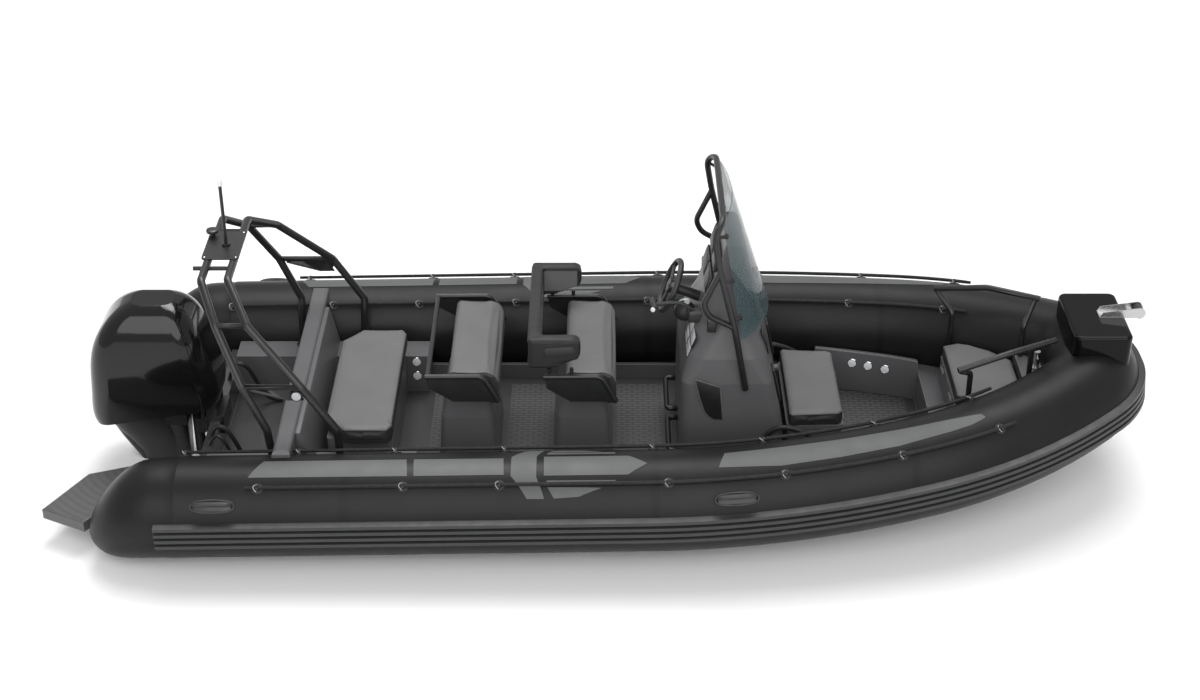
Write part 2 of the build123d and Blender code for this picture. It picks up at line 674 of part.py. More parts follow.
# Helm: wheel on a raked column.
HELM_CENTRE = Vector(404, 0, 1150)
HELM_RAKE = 23
WHEEL_RADIUS = 150
RIM_RADIUS = 14
HUB = (38, 24)             # radius and length
HELM_SHAFT = 9
helm_way = Vector(-cos(radians(HELM_RAKE)), 0, sin(radians(HELM_RAKE)))
helm_plane = Plane(HELM_CENTRE, x_dir=(0, 1, 0), z_dir=helm_way)
with BuildPart() as helm_wheel:
    with Locations(helm_plane.location):
        Torus(WHEEL_RADIUS, RIM_RADIUS)
        Cylinder(HUB[0], HUB[1])
    for turn in (90, 210, 330):
        spoke = helm_plane.x_dir * cos(radians(turn)) + helm_plane.y_dir * sin(radians(turn))
        with BuildSketch(Plane(HELM_CENTRE + spoke * 30, x_dir=helm_way.cross(spoke), z_dir=spoke)):
            Ellipse(17, 6)
        extrude(amount=WHEEL_RADIUS - 30 - 2)
    with Locations(helm_plane.location):
        Cylinder(HELM_SHAFT + RUN, 2 * HUB[1], mode=Mode.SUBTRACT)
save(helm_wheel.part, "helm_wheel")
with BuildPart() as helm_column:
    with Locations(helm_plane.offset(-12 - 5).location):
        Cylinder(30, 200, align=(Align.CENTER, Align.CENTER, Align.MAX))
    with Locations(helm_plane.offset(HUB[1] / 2).location):
        Cylinder(HELM_SHAFT, 60, align=(Align.CENTER, Align.CENTER, Align.MAX))
    add(pod(CONSOLE), mode=Mode.SUBTRACT)
save(helm_column.part, "helm_column")

with BuildPart() as compass:
    with Locations((488, 0, 985)):
        Sphere(62)
    with BuildPart(mode=Mode.PRIVATE) as dash:
        add(pod(CONSOLE))
    add(dash.part, mode=Mode.SUBTRACT)
save(compass.part, "compass")

with BuildPart() as foot_rails:
    reach = [(460.6, 400, 280), (400, 400, 280), (400, 50, 280), (460.6, 50, 280)]
    add(pipe(reach, 13, 26))
    mirror(about=Plane.XZ)
save(foot_rails.part, "foot_rails")

HINGE_PIN = 4
KNUCKLE = (8, 30)          # radius and length


def hinge_fixed(x, z, way, places):
    """Pins with an outer pair of knuckles on leaves let into the box; way is towards the box."""
    with BuildPart() as half:
        for y in places:
            with Locations((x, y, z)):
                Cylinder(HINGE_PIN, 3 * KNUCKLE[1], rotation=(90, 0, 0))
            for step in (-1, 1):
                middle = y + step * KNUCKLE[1]
                with Locations((x, middle, z)):
                    Cylinder(KNUCKLE[0], KNUCKLE[1] - 1, rotation=(90, 0, 0))
                low, high = sorted((x, x + way * 26))
                add(box((low, middle - KNUCKLE[1] / 2 + 0.5, z - 8), (high, middle + KNUCKLE[1] / 2 - 0.5, z - 4)))
    return half.part


def hinge_moving(x, z, way, places):
    """The middle knuckles on leaves let into the lid."""
    with BuildPart() as half:
        for y in places:
            with Locations((x, y, z)):
                Cylinder(KNUCKLE[0], KNUCKLE[1] - 1, rotation=(90, 0, 0))
            low, high = sorted((x, x + way * 19))
            add(box((low, y - KNUCKLE[1] / 2 + 0.5, z + 1), (high, y + KNUCKLE[1] / 2 - 0.5, z + 5)))
            with Locations((x, y, z)):
                Cylinder(HINGE_PIN + RUN, 2 * KNUCKLE[1], rotation=(90, 0, 0), mode=Mode.SUBTRACT)
    return half.part


# Seat ahead of the console, its lid hinged on the fore edge.
SEAT_HINGE = (1414, 404)   # x, z of the pin
HINGE_PLACES = (-220, 220)
FRONT_SEAT = ((1080, -350, DECK_Z + SEAT), (1400, 350, 400))
with BuildPart() as console_seat:
    add(box(*FRONT_SEAT, fillet_radius=30))
    add(box((1105, -325, DECK_Z + 25), (1375, 325, 420)), mode=Mode.SUBTRACT)
    add(hinge_fixed(*SEAT_HINGE, -1, HINGE_PLACES))
save(console_seat.part, "console_seat")
LID_RISE = 5
with BuildPart() as console_seat_lid:
    add(box((1078, -355, FRONT_SEAT[1][2] + LID_RISE), (1405, 355, FRONT_SEAT[1][2] + LID_RISE + BOARD_THICK), 30))
    add(hinge_moving(*SEAT_HINGE, -1, HINGE_PLACES))
save(console_seat_lid.part, "console_seat_lid")
FRONT_CUSHION = [(1085, 355), (1100, 372), (1375, 355), (1405, 325)]
save(pad(FRONT_CUSHION, FRONT_SEAT[1][2] + LID_RISE + BOARD_THICK + SEAT, 510), "console_seat_cushion")

# ---------------------------------------------------------------- bow
LOCKER_OUTLINE = [(2055, 285), (2150, 316), (2222, 298), (2330, 236), (2445, 118)]
LOCKER_TOP = 480
LOCKER_HINGE = (2046, LOCKER_TOP + 4)
LOCKER_HINGES = (-150, 150)
with BuildPart() as bow_locker:
    add(pad(LOCKER_OUTLINE, FORE_DECK_Z + SEAT, LOCKER_TOP, 0))
    add(box((2110, -190, FORE_DECK_Z - 10), (2400, 190, LOCKER_TOP + 10), 40), mode=Mode.SUBTRACT)
    add(tube_room.part, mode=Mode.SUBTRACT)
    add(hinge_fixed(*LOCKER_HINGE, 1, LOCKER_HINGES))
save(bow_locker.part, "bow_locker")
LID_Z = LOCKER_TOP + LID_RISE
with BuildPart() as bow_locker_lid:
    add(pad(LOCKER_OUTLINE, LID_Z, LID_Z + BOARD_THICK, 0))
    add(hinge_moving(*LOCKER_HINGE, 1, LOCKER_HINGES))
save(bow_locker_lid.part, "bow_locker_lid")
save(pad(LOCKER_OUTLINE, LID_Z + BOARD_THICK + SEAT, 585), "bow_cushion")

BOW_DECK_TOP = 600
with BuildPart() as bow_deck:
    add(pad([(2462, 260), (2560, 200), (2640, 120)], FORE_DECK_Z + SEAT, BOW_DECK_TOP, 0))
    add(tube_room.part, mode=Mode.SUBTRACT)
save(bow_deck.part, "bow_deck")

BOW_RAIL = [(2012, 470, 865), (2308, 381, 923), (2593, 240, 925)]
BOW_POSTS = [
    [(2030, 462, 852), (2108, 344, 770), (2108, 344, FORE_DECK_Z + SEAT)],
    [(2570, 252, 912), (2492, 132, 800), (2492, 132, BOW_DECK_TOP + SEAT)],
]
with BuildPart() as bow_rails:
    add(pipe(BOW_RAIL, RAIL, 200))
    for post in BOW_POSTS:
        add(pipe(list(reversed(post)), 0.87 * RAIL, 40))
    mirror(about=Plane.XZ)
save(bow_rails.part, "bow_rails")

BOLLARD_X = 2560
with BuildPart() as mooring_bollard:
    with Locations((BOLLARD_X, 0, BOW_DECK_TOP + SEAT)):
        Cylinder(34, 8, align=(Align.CENTER, Align.CENTER, Align.MIN))
        Cylinder(19, 108, align=(Align.CENTER, Align.CENTER, Align.MIN))
    with Locations((BOLLARD_X, 0, BOW_DECK_TOP + 74)):
        Cylinder(8, 90, rotation=(90, 0, 0))
save(mooring_bollard.part, "mooring_bollard")

STEP_TOP = 955
with BuildPart() as bow_step:
    add(box((2700, -265, 740), (3035, 265, STEP_TOP), 45))
    fillet(bow_step.edges().group_by(Axis.Z)[-1], 18)
    add(tube_room.part, mode=Mode.SUBTRACT)
save(bow_step.part, "bow_step")

ROLLER_CENTRE = (3110, 0, 985)
ROLLER = (30, 58)
CHEEK = 6
with BuildPart() as roller_bracket:
    for side in (1, -1):
        with BuildSketch(Plane.XZ.offset(-side * (ROLLER[1] / 2 + 5 + CHEEK / 2) - CHEEK / 2)):
            with BuildLine() as cheek:
                Polyline((2880, STEP_TOP + SEAT), (3095, STEP_TOP + SEAT), (3110, 950))
                ThreePointArc((3110, 950), (3145, 985), (3110, 1020))
                Polyline((3110, 1020), (2900, 990), (2880, STEP_TOP + SEAT))
            make_face(cheek.edges())
        extrude(amount=CHEEK)
    add(box((2880, -ROLLER[1] / 2 - 12, STEP_TOP + SEAT), (3060, ROLLER[1] / 2 + 12, STEP_TOP + 8)))
save(roller_bracket.part, "roller_bracket")
with BuildPart() as bow_roller:
    with Locations(ROLLER_CENTRE):
        Cylinder(ROLLER[0], ROLLER[1], rotation=(90, 0, 0))
        Cylinder(6, ROLLER[1] + 9, rotation=(90, 0, 0))
save(bow_roller.part, "bow_roller")

# ---------------------------------------------------------------- tube handles
HANDLE_LENGTH = 230
HANDLE_ARC = (20, 50)      # degrees over the equator
with BuildPart() as tube_handles:
    for frame in (straight_frame(-2090), collar_frame(0, 5)):
        point, ahead, outboard = frame
        skin = TUBE_RADIUS + 0.8
        with BuildSketch(frame_plane((point - ahead * (HANDLE_LENGTH / 2), ahead, outboard))):
            a, b = (radians(v) for v in HANDLE_ARC)
            m = (a + b) / 2
            with BuildLine() as slab:
                for r in (skin, skin + 6):
                    ThreePointArc((r * cos(a), r * sin(a)), (r * cos(m), r * sin(m)), (r * cos(b), r * sin(b)))
                for t in (a, b):
                    Line((skin * cos(t), skin * sin(t)), ((skin + 6) * cos(t), (skin + 6) * sin(t)))
            make_face(slab.edges())
        extrude(amount=HANDLE_LENGTH)
    mirror(about=Plane.XZ)
save(tube_handles.part, "tube_handles")

# ---------------------------------------------------------------- tow eyes
EYE_BORE = 12
EYE_THICK = 14
STERN_EYE = (TRANSOM_X - 31, 450, -45)
with BuildPart() as tow_eyes:
    for side in (1, -1):
        x, y, z = STERN_EYE
        add(box((x, side * y - EYE_THICK / 2, z - 30), (TRANSOM_X - SEAT, side * y + EYE_THICK / 2, z + 30)))
        with Locations((x, side * y, z)):
            Cylinder(30, EYE_THICK, rotation=(90, 0, 0))
            Cylinder(EYE_BORE, 2 * EYE_THICK, rotation=(90, 0, 0), mode=Mode.SUBTRACT)
save(tow_eyes.part, "stern_tow_eyes")

# ---------------------------------------------------------------- outboard engine
TILT_AXIS = (-2290, 380)       # x, z
TILT_BOSS = 30
STEER_X = -2400
CLAMP_HALF = 120
CLAMP_EAR = 25
JAW_X = TRANSOM_X + TRANSOM_THICK + 20
with BuildPart() as engine_clamp:
    add(box((-2328, -CLAMP_HALF, -120), (TRANSOM_X - SEAT, CLAMP_HALF, 328)))
    add(box((-2328, -CLAMP_HALF, TRANSOM_TOP + SEAT), (JAW_X, CLAMP_HALF, 328)))
    add(box((TRANSOM_X + TRANSOM_THICK + SEAT, -CLAMP_HALF, LINER_TOP + 8), (JAW_X, CLAMP_HALF, 328)))
    for side in (1, -1):
        low, high = sorted((side * (CLAMP_HALF - CLAMP_EAR), side * CLAMP_HALF))
        add(box((TILT_AXIS[0] - TILT_BOSS, low, 320), (TILT_AXIS[0] + TILT_BOSS, high, TILT_AXIS[1])))
        with Locations((TILT_AXIS[0], (low + high) / 2, TILT_AXIS[1])):
            Cylinder(TILT_BOSS, CLAMP_EAR, rotation=(90, 0, 0))
    with Locations((TILT_AXIS[0], 0, TILT_AXIS[1])):
        Cylinder(13, 2 * CLAMP_HALF, rotation=(90, 0, 0))
save(engine_clamp.part, "engine_clamp")

SWIVEL_RADIUS = 32
STEER_SHAFT = 15
SWIVEL_HALF = 84
with BuildPart() as swivel_bracket:
    with Locations((STEER_X, 0, -60)):
        Cylinder(SWIVEL_RADIUS, 340, align=(Align.CENTER, Align.CENTER, Align.MIN))
    # Arms run from the steering tube up to the tilt tube.
    for y in (-60, 42):
        with BuildSketch(Plane.XZ.offset(-y - 18)):
            Polygon((STEER_X - 8, 180), (-2345, 180), (-2345, 345), (TILT_AXIS[0] - 12, 360),
                    (TILT_AXIS[0] - 12, 400), (-2362, 386), (-2368, 278), (STEER_X - 8, 278), align=None)
        extrude(amount=18)
    add(box((STEER_X, -60, 180), (-2350, 60, 278)))
    with Locations((TILT_AXIS[0], 0, TILT_AXIS[1])):
        Cylinder(26, 2 * SWIVEL_HALF, rotation=(90, 0, 0))
        Cylinder(13 + RUN, 400, rotation=(90, 0, 0), mode=Mode.SUBTRACT)
    with Locations((STEER_X, 0, 110)):
        Cylinder(STEER_SHAFT + RUN, 400, mode=Mode.SUBTRACT)
save(swivel_bracket.part, "swivel_bracket")

# Cowl levels: z, aft x, fore x, half width, corner.
COWL = [
    (290, -2968, -2300, 190, 110), (430, -2985, -2240, 215, 120), (620, -2965, -2242, 242, 130),
    (830, -2925, -2295, 235, 125), (960, -2850, -2340, 200, 105), (1035, -2770, -2400, 150, 90), (1070, -2700, -2450, 90, 60),
]
COWL_RIM = ((-2236, 441), (-2967, 303))      # x, z of the rim's fore and aft ends
COWL_WALL = 20
POWERHEAD = ((-2825, -155, 455), (-2425, 155, 855))
with BuildPart() as engine_cowl:
    for z, aft, fore, half, corner in COWL:
        with BuildSketch(Plane.XY.offset(z)):
            with Locations(((aft + fore) / 2, 0)):
                RectangleRounded(fore - aft, 2 * half, corner)
    loft()
    with BuildPart(mode=Mode.PRIVATE) as under_rim:
        with BuildSketch(Plane.XZ.offset(-400)):
            Polygon(COWL_RIM[0], COWL_RIM[1], (-3100, 278), (-3100, 200), (-2100, 200), (-2100, 467), align=None)
        extrude(amount=800)
    add(under_rim.part, mode=Mode.SUBTRACT)
    add(box((POWERHEAD[0][0] - 5, POWERHEAD[0][1] - 5, 200), (POWERHEAD[1][0] + 5, POWERHEAD[1][1] + 5, POWERHEAD[1][2] + 5)),
        mode=Mode.SUBTRACT)
save(engine_cowl.part, "engine_cowl")
with BuildPart() as powerhead:
    add(box(*POWERHEAD))
save(powerhead.part, "powerhead")

# Midsection levels: z, aft x, fore x, half width, corner.
MIDSECTION = [
    (454, -2925, -2450, 140, 60), (300, -2895, -2450, 128, 56), (180, -2850, -2450, 100, 48),
    (0, -2755, -2455, 72, 36), (-345, -2700, -2462, 48, 24),
]
PLATE_Z = -345
PROP_Z = -555
MOUNT_BOSS = 24
with BuildPart() as engine_midsection:
    add(pod(MIDSECTION))
    with BuildPart(mode=Mode.PRIVATE) as under_cowl:
        with BuildSketch(Plane.XZ.offset(-400)):
            Polygon((-2236, 441 - SEAT), (-2967, 303 - SEAT), (-3100, 278), (-3100, 500), (-2100, 500), align=None)
        extrude(amount=800)
    add(under_cowl.part, mode=Mode.SUBTRACT)
    # Upper and lower mounts reach forward over and under the steering tube.
    for low, high, boss in ((286, 322, MOUNT_BOSS), (-110, -68, MOUNT_BOSS + 6)):
        add(box((-2490, -boss, low), (STEER_X, boss, high)))
        with Locations((STEER_X, 0, low)):
            Cylinder(boss, high - low, align=(Align.CENTER, Align.CENTER, Align.MIN))
    with Locations((STEER_X, 0, -100)):
        Cylinder(STEER_SHAFT, 410, align=(Align.CENTER, Align.CENTER, Align.MIN))
    # The powerhead stands on a block inside the cowl.
    add(box((-2815, -135, 280), (-2435, 135, POWERHEAD[0][2] - SEAT)))
    add(box((-2905, -140, PLATE_Z), (-2470, 140, PLATE_Z + 14), 60))
save(engine_midsection.part, "engine_midsection")

GEARCASE_X = (-2870, -2470)
TORPEDO_RADIUS = 56
PROP_SHAFT = 14
with BuildPart() as gearcase:
    add(pod([(PLATE_Z - SEAT, -2760, -2500, 40, 18), (PROP_Z + 30, -2780, -2520, 26, 12)]))
    with Locations((GEARCASE_X[0], 0, PROP_Z)):
        Cylinder(TORPEDO_RADIUS, 290, rotation=(0, 90, 0), align=(Align.CENTER, Align.CENTER, Align.MIN))
    with Locations((GEARCASE_X[0] + 290, 0, PROP_Z)):
        Cone(TORPEDO_RADIUS, 12, 110, rotation=(0, 90, 0), align=(Align.CENTER, Align.CENTER, Align.MIN))
    with BuildSketch(Plane.XZ.offset(-8)):
        Polygon((-2820, PROP_Z - 40), (-2620, PROP_Z - 40), (-2760, PROP_Z - 210), (-2820, PROP_Z - 210), align=None)
    extrude(amount=16)
    with Locations((GEARCASE_X[0] + 20, 0, PROP_Z)):
        Cylinder(PROP_SHAFT, 150, rotation=(0, -90, 0), align=(Align.CENTER, Align.CENTER, Align.MIN))
save(gearcase.part, "gearcase")

PROP_RADIUS = 182
HUB_RADIUS = 46
with BuildPart() as propeller:
    with Locations((GEARCASE_X[0] - 5, 0, PROP_Z)):
        Cylinder(HUB_RADIUS, 105, rotation=(0, -90, 0), align=(Align.CENTER, Align.CENTER, Align.MIN))
    for blade in range(3):
        with BuildPart(mode=Mode.PRIVATE) as vane:
            with BuildSketch(Plane(origin=(-2925, 0, 0), x_dir=(0.5, 0.866, 0), z_dir=(0.866, -0.5, 0))):
                with Locations((0, PROP_RADIUS - 78)):
                    Ellipse(58, 78)
            extrude(amount=4, both=True)
        add(Pos(0, 0, PROP_Z) * Rotation(120 * blade, 0, 0) * vane.part)
    with Locations((GEARCASE_X[0], 0, PROP_Z)):
        Cylinder(PROP_SHAFT + RUN, 300, rotation=(0, 90, 0), mode=Mode.SUBTRACT)
save(propeller.part, "propeller")
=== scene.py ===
import json
import math

import bpy
from mathutils import Matrix, Vector


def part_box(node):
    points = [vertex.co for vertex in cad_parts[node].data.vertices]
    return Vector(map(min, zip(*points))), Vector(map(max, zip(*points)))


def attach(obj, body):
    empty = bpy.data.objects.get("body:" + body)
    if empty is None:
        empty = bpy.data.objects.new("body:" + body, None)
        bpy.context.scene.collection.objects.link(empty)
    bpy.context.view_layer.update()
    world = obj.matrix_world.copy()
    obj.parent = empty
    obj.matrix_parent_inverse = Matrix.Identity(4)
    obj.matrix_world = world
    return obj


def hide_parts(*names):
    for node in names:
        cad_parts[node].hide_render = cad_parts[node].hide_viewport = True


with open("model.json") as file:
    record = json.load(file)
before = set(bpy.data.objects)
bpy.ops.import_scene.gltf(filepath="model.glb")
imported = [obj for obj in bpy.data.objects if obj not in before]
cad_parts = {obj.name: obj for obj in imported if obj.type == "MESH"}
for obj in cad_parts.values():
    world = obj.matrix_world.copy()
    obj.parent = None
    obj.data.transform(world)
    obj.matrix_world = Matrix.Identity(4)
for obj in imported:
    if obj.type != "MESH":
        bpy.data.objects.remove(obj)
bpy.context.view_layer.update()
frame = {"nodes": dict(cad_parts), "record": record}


NODES = frame["nodes"]


# ---------------------------------------------------------------- camera, lights and floor
CAMERA_PLACE = (0, -9.982, 6.715)
CAMERA_TILT = 59           # degrees up from straight down
FOCAL_PIXELS = 1991        # focal length, in pixels of the picture
PICTURE_WIDTH = 1200       # pixels
SENSOR_WIDTH = 36          # mm
FAR_CLIP = 300             # metres

WORLD_LIGHT = 0.52
FLOOR_GREY = 0.93
FLOOR_SIDE = 160           # metres


def look_from_starboard():
    """A camera off the starboard side, looking to port and down."""
    bpy.ops.object.camera_add(location=CAMERA_PLACE, rotation=(math.radians(CAMERA_TILT), 0, 0))
    camera = bpy.context.object
    camera.data.lens = FOCAL_PIXELS * SENSOR_WIDTH / PICTURE_WIDTH
    camera.data.clip_end = FAR_CLIP
    bpy.context.scene.camera = camera


def soft_light(place, aim, size, power):
    bpy.ops.object.light_add(type="AREA", location=place)
    lamp = bpy.context.object
    lamp.rotation_euler = (Vector(aim) - Vector(place)).to_track_quat("-Z", "Y").to_euler()
    lamp.data.shape = "RECTANGLE"
    lamp.data.size, lamp.data.size_y = size
    lamp.data.energy = power


def sky_light(way, spread, power):
    """A broad, far light, shining from way."""
    bpy.ops.object.light_add(type="SUN")
    lamp = bpy.context.object
    lamp.rotation_euler = Vector(way).to_track_quat("Z", "Y").to_euler()
    lamp.data.angle = math.radians(spread)
    lamp.data.energy = power


def pale_studio():
    world = bpy.data.worlds.new("pale studio")
    bpy.context.scene.world = world
    world.use_nodes = True
    world.node_tree.nodes["Background"].inputs["Color"].default_value = (1, 1, 1, 1)
    world.node_tree.nodes["Background"].inputs["Strength"].default_value = WORLD_LIGHT
    bpy.context.scene.view_settings.view_transform = "Standard"
    sky_light((0.10, 0.45, 1.0), 35, 1.45)
    sky_light((0.10, -1.0, 0.75), 60, 1.9)
    soft_light((-1.8, 1.2, 4.2), (-2.2, 0.0, 0.9), (3.0, 1.2), 55)
    bpy.ops.mesh.primitive_plane_add(size=FLOOR_SIDE, location=(0, 0, 0))
    floor = bpy.context.object
    floor.name = "pale_floor"
    paint = bpy.data.materials.new("pale floor")
    paint.use_nodes = True
    shader = paint.node_tree.nodes["Principled BSDF"]
    shader.inputs["Base Color"].default_value = (FLOOR_GREY, FLOOR_GREY, FLOOR_GREY, 1)
    shader.inputs["Roughness"].default_value = 0.9
    floor.data.materials.append(paint)


look_from_starboard()
pale_studio()


# ---------------------------------------------------------------- finishes
class Link:
    """A shader socket that takes Python's arithmetic."""

    def __init__(self, finish, socket):
        self.finish, self.socket = finish, socket

    def join(self, operation, *others):
        return self.finish.node("Math", {"operation": operation}, *others)

    def __add__(self, other):
        return self.join("ADD", self, other)

    def __radd__(self, other):
        return self.join("ADD", other, self)

    def __sub__(self, other):
        return self.join("SUBTRACT", self, other)

    def __rsub__(self, other):
        return self.join("SUBTRACT", other, self)

    def __mul__(self, other):
        return self.join("MULTIPLY", self, other)

    def __rmul__(self, other):
        return self.join("MULTIPLY", other, self)

    def __gt__(self, other):
        return self.join("GREATER_THAN", self, other)

    def __lt__(self, other):
        return self.join("LESS_THAN", self, other)

    def __abs__(self):
        return self.join("ABSOLUTE", self)

    def __mod__(self, other):
        return self.join("PINGPONG", self, other)


class Finish:
    """One procedural material, named for what it is on the boat."""

    def __init__(self, name, **constants):
        self.material = bpy.data.materials.new(name)
        self.material.use_nodes = True
        self.tree = self.material.node_tree
        self.shader = self.tree.nodes["Principled BSDF"]
        for socket, value in constants.items():
            self.shader.inputs[socket.replace("_", " ")].default_value = value
        self.place = self.node("TexCoord", {}, out="Object")

    def node(self, kind, settings, *values, out=0, **named):
        node = self.tree.nodes.new("ShaderNode" + kind)
        for key, value in settings.items():
            setattr(node, key, value)
        pairs = list(enumerate(values)) + [(k.replace("_", " "), v) for k, v in named.items()]
        for socket, value in pairs:
            if isinstance(value, Link):
                self.tree.links.new(value.socket, node.inputs[socket])
            else:
                node.inputs[socket].default_value = value
        return Link(self, node.outputs[out])

    def axes(self):
        """Object X, Y and Z as three values, in metres."""
        split = self.node("SeparateXYZ", {}, self.place)
        return [Link(self, split.socket.node.outputs[i]) for i in range(3)]

    def stretched(self, scale):
        return self.node("Mapping", {}, Vector=self.place, Scale=scale)

    def noise(self, scale, detail=3.0, vector=None):
        return self.node("TexNoise", {}, Vector=vector or self.place, Scale=scale, Detail=detail, Roughness=0.55)

    def bands(self, direction, scale, **more):
        settings = {"wave_type": "BANDS", "bands_direction": direction}
        return self.node("TexWave", settings, Vector=self.place, Scale=scale, **more)

    def cells(self, scale):
        return self.node("TexVoronoi", {}, Vector=self.place, Scale=scale)

    def span(self, value, low, high, to_low=0.0, to_high=1.0):
        return self.node("MapRange", {}, Value=value, From_Min=low, From_Max=high, To_Min=to_low, To_Max=to_high)

    def drift(self, scale, detail, low=0.0, high=1.0):
        """A value that wanders over the surface from low to high."""
        return self.span(self.noise(scale, detail), 0.3, 0.7, low, high)

    def blend(self, a, b, factor):
        node = self.tree.nodes.new("ShaderNodeMix")
        node.data_type = "RGBA"
        for socket, value in ((0, factor), (6, a), (7, b)):
            if isinstance(value, Link):
                self.tree.links.new(value.socket, node.inputs[socket])
            else:
                node.inputs[socket].default_value = value
        return Link(self, node.outputs[2])

    def painted_edge_highlight(self, radius):
        """1 on the rounded edges of a moulding, where the gelcoat catches the light: the finishes paint a highlight
        there.
        """
        soft = self.node("Bevel", {"samples": 4}, Radius=radius)
        flat = self.node("NewGeometry", {}, out="Normal")
        along = self.node("VectorMath", {"operation": "DOT_PRODUCT"}, soft, flat, out="Value")
        return self.span(along, 0.985, 0.90)

    def relief(self, height, strength, distance):
        bump = self.node("Bump", {}, Strength=strength, Distance=distance, Height=height)
        self.feed("Normal", bump)

    def feed(self, socket, value):
        self.tree.links.new(value.socket, self.shader.inputs[socket])


def grey(value, tint=(1, 1, 1)):
    return tuple(value * t for t in tint) + (1,)


def speckled(name, dark, light, scale, rough, grain, depth, tint=(0.98, 1, 1.02), **constants):
    """A finish whose colour, gloss and grain vary a little over the surface."""
    finish = Finish(name, **constants)
    cloud = finish.drift(scale, 4)
    finish.feed("Base Color", finish.blend(grey(dark, tint), grey(light, tint), cloud))
    finish.feed("Roughness", finish.drift(scale * 3, 5, rough[0], rough[1]))
    if depth:
        finish.relief(finish.noise(grain, 3), 0.5, depth)
    return finish


TUBE_SEAMS = (-1.38, 0.30, 1.72)       # x of the glued seams
SEAM_HALF = 0.021
SEAM_EDGE = 0.0012


def tube_fabric():
    """Coated fabric: a fine cross weave under a satin skin, with glued seams across the tube."""
    finish = Finish("coated tube fabric", Specular_IOR_Level=0.20)
    x, y, z = finish.axes()
    cloud = finish.drift(1.6, 4)
    base = finish.blend(grey(0.009), grey(0.012), cloud)
    seam, edge = 0, 0
    for place in TUBE_SEAMS:
        seam = seam + (abs(x - place) < SEAM_HALF)
        edge = edge + (abs(abs(x - place) - SEAM_HALF) < SEAM_EDGE)
    finish.feed("Base Color", finish.blend(base, grey(0.007), seam * 0.8 + edge * 0.2))
    finish.feed("Roughness", finish.drift(9, 5, 0.36, 0.42))
    weave = finish.bands("X", 260.0)
    cross = finish.bands("DIAGONAL", 260.0)
    finish.relief((weave + cross) * 0.15 + seam - edge * 0.5, 0.3, 0.0006)
    return finish


def hull_gelcoat():
    return speckled("hull gelcoat", 0.045, 0.052, 2.0, (0.12, 0.2), 30, 0.0002, Coat_Weight=0.4)


SOLE_LEVEL = (0.1085, 0.1115)          # what lies between these heights is the sole's top
TREADS = ((-1.02, -0.84), (-0.55, -0.28), (0.10, 0.43), (1.46, 1.88))       # x from and to
TREAD_HALF = 0.60
COOL = (0.99, 0.99, 1.03)              # the deck's and console's faint blue


def deck_gelcoat(name, lower, upper):
    """Gloss gelcoat, with moulded non-skid lozenges where feet go on the sole."""
    finish = Finish(name, Specular_IOR_Level=0.35, Coat_Weight=0.10, Coat_Roughness=0.12)
    x, y, z = finish.axes()
    cloud = finish.drift(2.2, 4)
    plain = finish.blend(grey(lower, COOL), grey(upper, COOL), cloud)
    on_sole = (z < SOLE_LEVEL[1]) * (z > SOLE_LEVEL[0])
    tread = 0
    for low, high in TREADS:
        tread = tread + (x > low) * (x < high)
    tread = tread * on_sole * (abs(y) < TREAD_HALF)
    slant = finish.stretched((7.5, 9.6, 1))
    bricks = finish.node(
        "TexBrick", {"offset": 0.5}, Vector=slant, Scale=1.0, Mortar_Size=0.055, Mortar_Smooth=0.2,
        Color1=grey(1), Color2=grey(1), Mortar=grey(0),
    )
    lozenge = finish.span(bricks, 0, 1)
    walked = finish.blend(plain, grey(0.10), tread * lozenge * 0.5)
    # painted highlight: the rounded edges are lightened towards grey 0.30, as if they caught the light
    finish.feed("Base Color", finish.blend(walked, grey(0.30), finish.painted_edge_highlight(0.006) * 0.6))
    finish.feed("Roughness", finish.drift(6, 5, 0.30, 0.40) + tread * 0.2)
    finish.relief(tread * lozenge + finish.noise(140, 2) * 0.06, 0.5, 0.0015)
    return finish


def console_gelcoat():
    finish = Finish("console gelcoat", Specular_IOR_Level=0.30, Coat_Weight=0.05, Coat_Roughness=0.2)
    cloud = finish.drift(2.5, 4)
    plain = finish.blend(grey(0.082, COOL), grey(0.090, COOL), cloud)
    # painted highlight: the rounded edges are lightened towards grey 0.30, as if they caught the light
    finish.feed("Base Color", finish.blend(plain, grey(0.30), finish.painted_edge_highlight(0.005) * 0.5))
    finish.feed("Roughness", finish.drift(7, 5, 0.36, 0.46))
    return finish


def platform_gelcoat():
    """Gelcoat with shallow curved grooves on its top for grip."""
    finish = Finish("platform gelcoat", Coat_Weight=0.2)
    x, y, z = finish.axes()
    along, across = x + 2.55, abs(y) - 0.35
    spread = along * along + across * across
    root = finish.node("Math", {"operation": "SQRT"}, spread, 0.0)
    groove = ((root * 22.0) % 0.5) * 2.0
    top = z > 0.1975
    cloud = finish.drift(5, 5)
    plain = finish.blend(grey(0.070), grey(0.080), cloud)
    finish.feed("Base Color", finish.blend(plain, grey(0.045), groove * top * 0.7))
    finish.feed("Roughness", finish.drift(30, 4, 0.45, 0.60))
    finish.relief(groove * top * -1.0 + finish.noise(300, 2) * 0.3, 0.5, 0.002)
    return finish


def vinyl(name, level, grain=900):
    """Cushion vinyl with a leather-like grain of small cells."""
    finish = Finish(name, Specular_IOR_Level=0.4)
    cloud = finish.drift(5, 5)
    finish.feed("Base Color", finish.blend(grey(level * 0.93), grey(level * 1.06), cloud))
    finish.feed("Roughness", finish.drift(20, 5, 0.50, 0.60))
    finish.relief(finish.cells(grain) + finish.noise(60, 3) * 0.6, 0.30, 0.0008)
    return finish


def braided(name, level):
    """Rope: strands that slant round its run."""
    finish = Finish(name)
    twist = finish.bands("DIAGONAL", 120.0, Distortion=1.5)
    finish.feed("Base Color", finish.blend(grey(level * 0.6), grey(level * 1.5), twist))
    finish.feed("Roughness", finish.drift(40, 3, 0.6, 0.8))
    finish.relief(twist, 0.6, 0.001)
    return finish


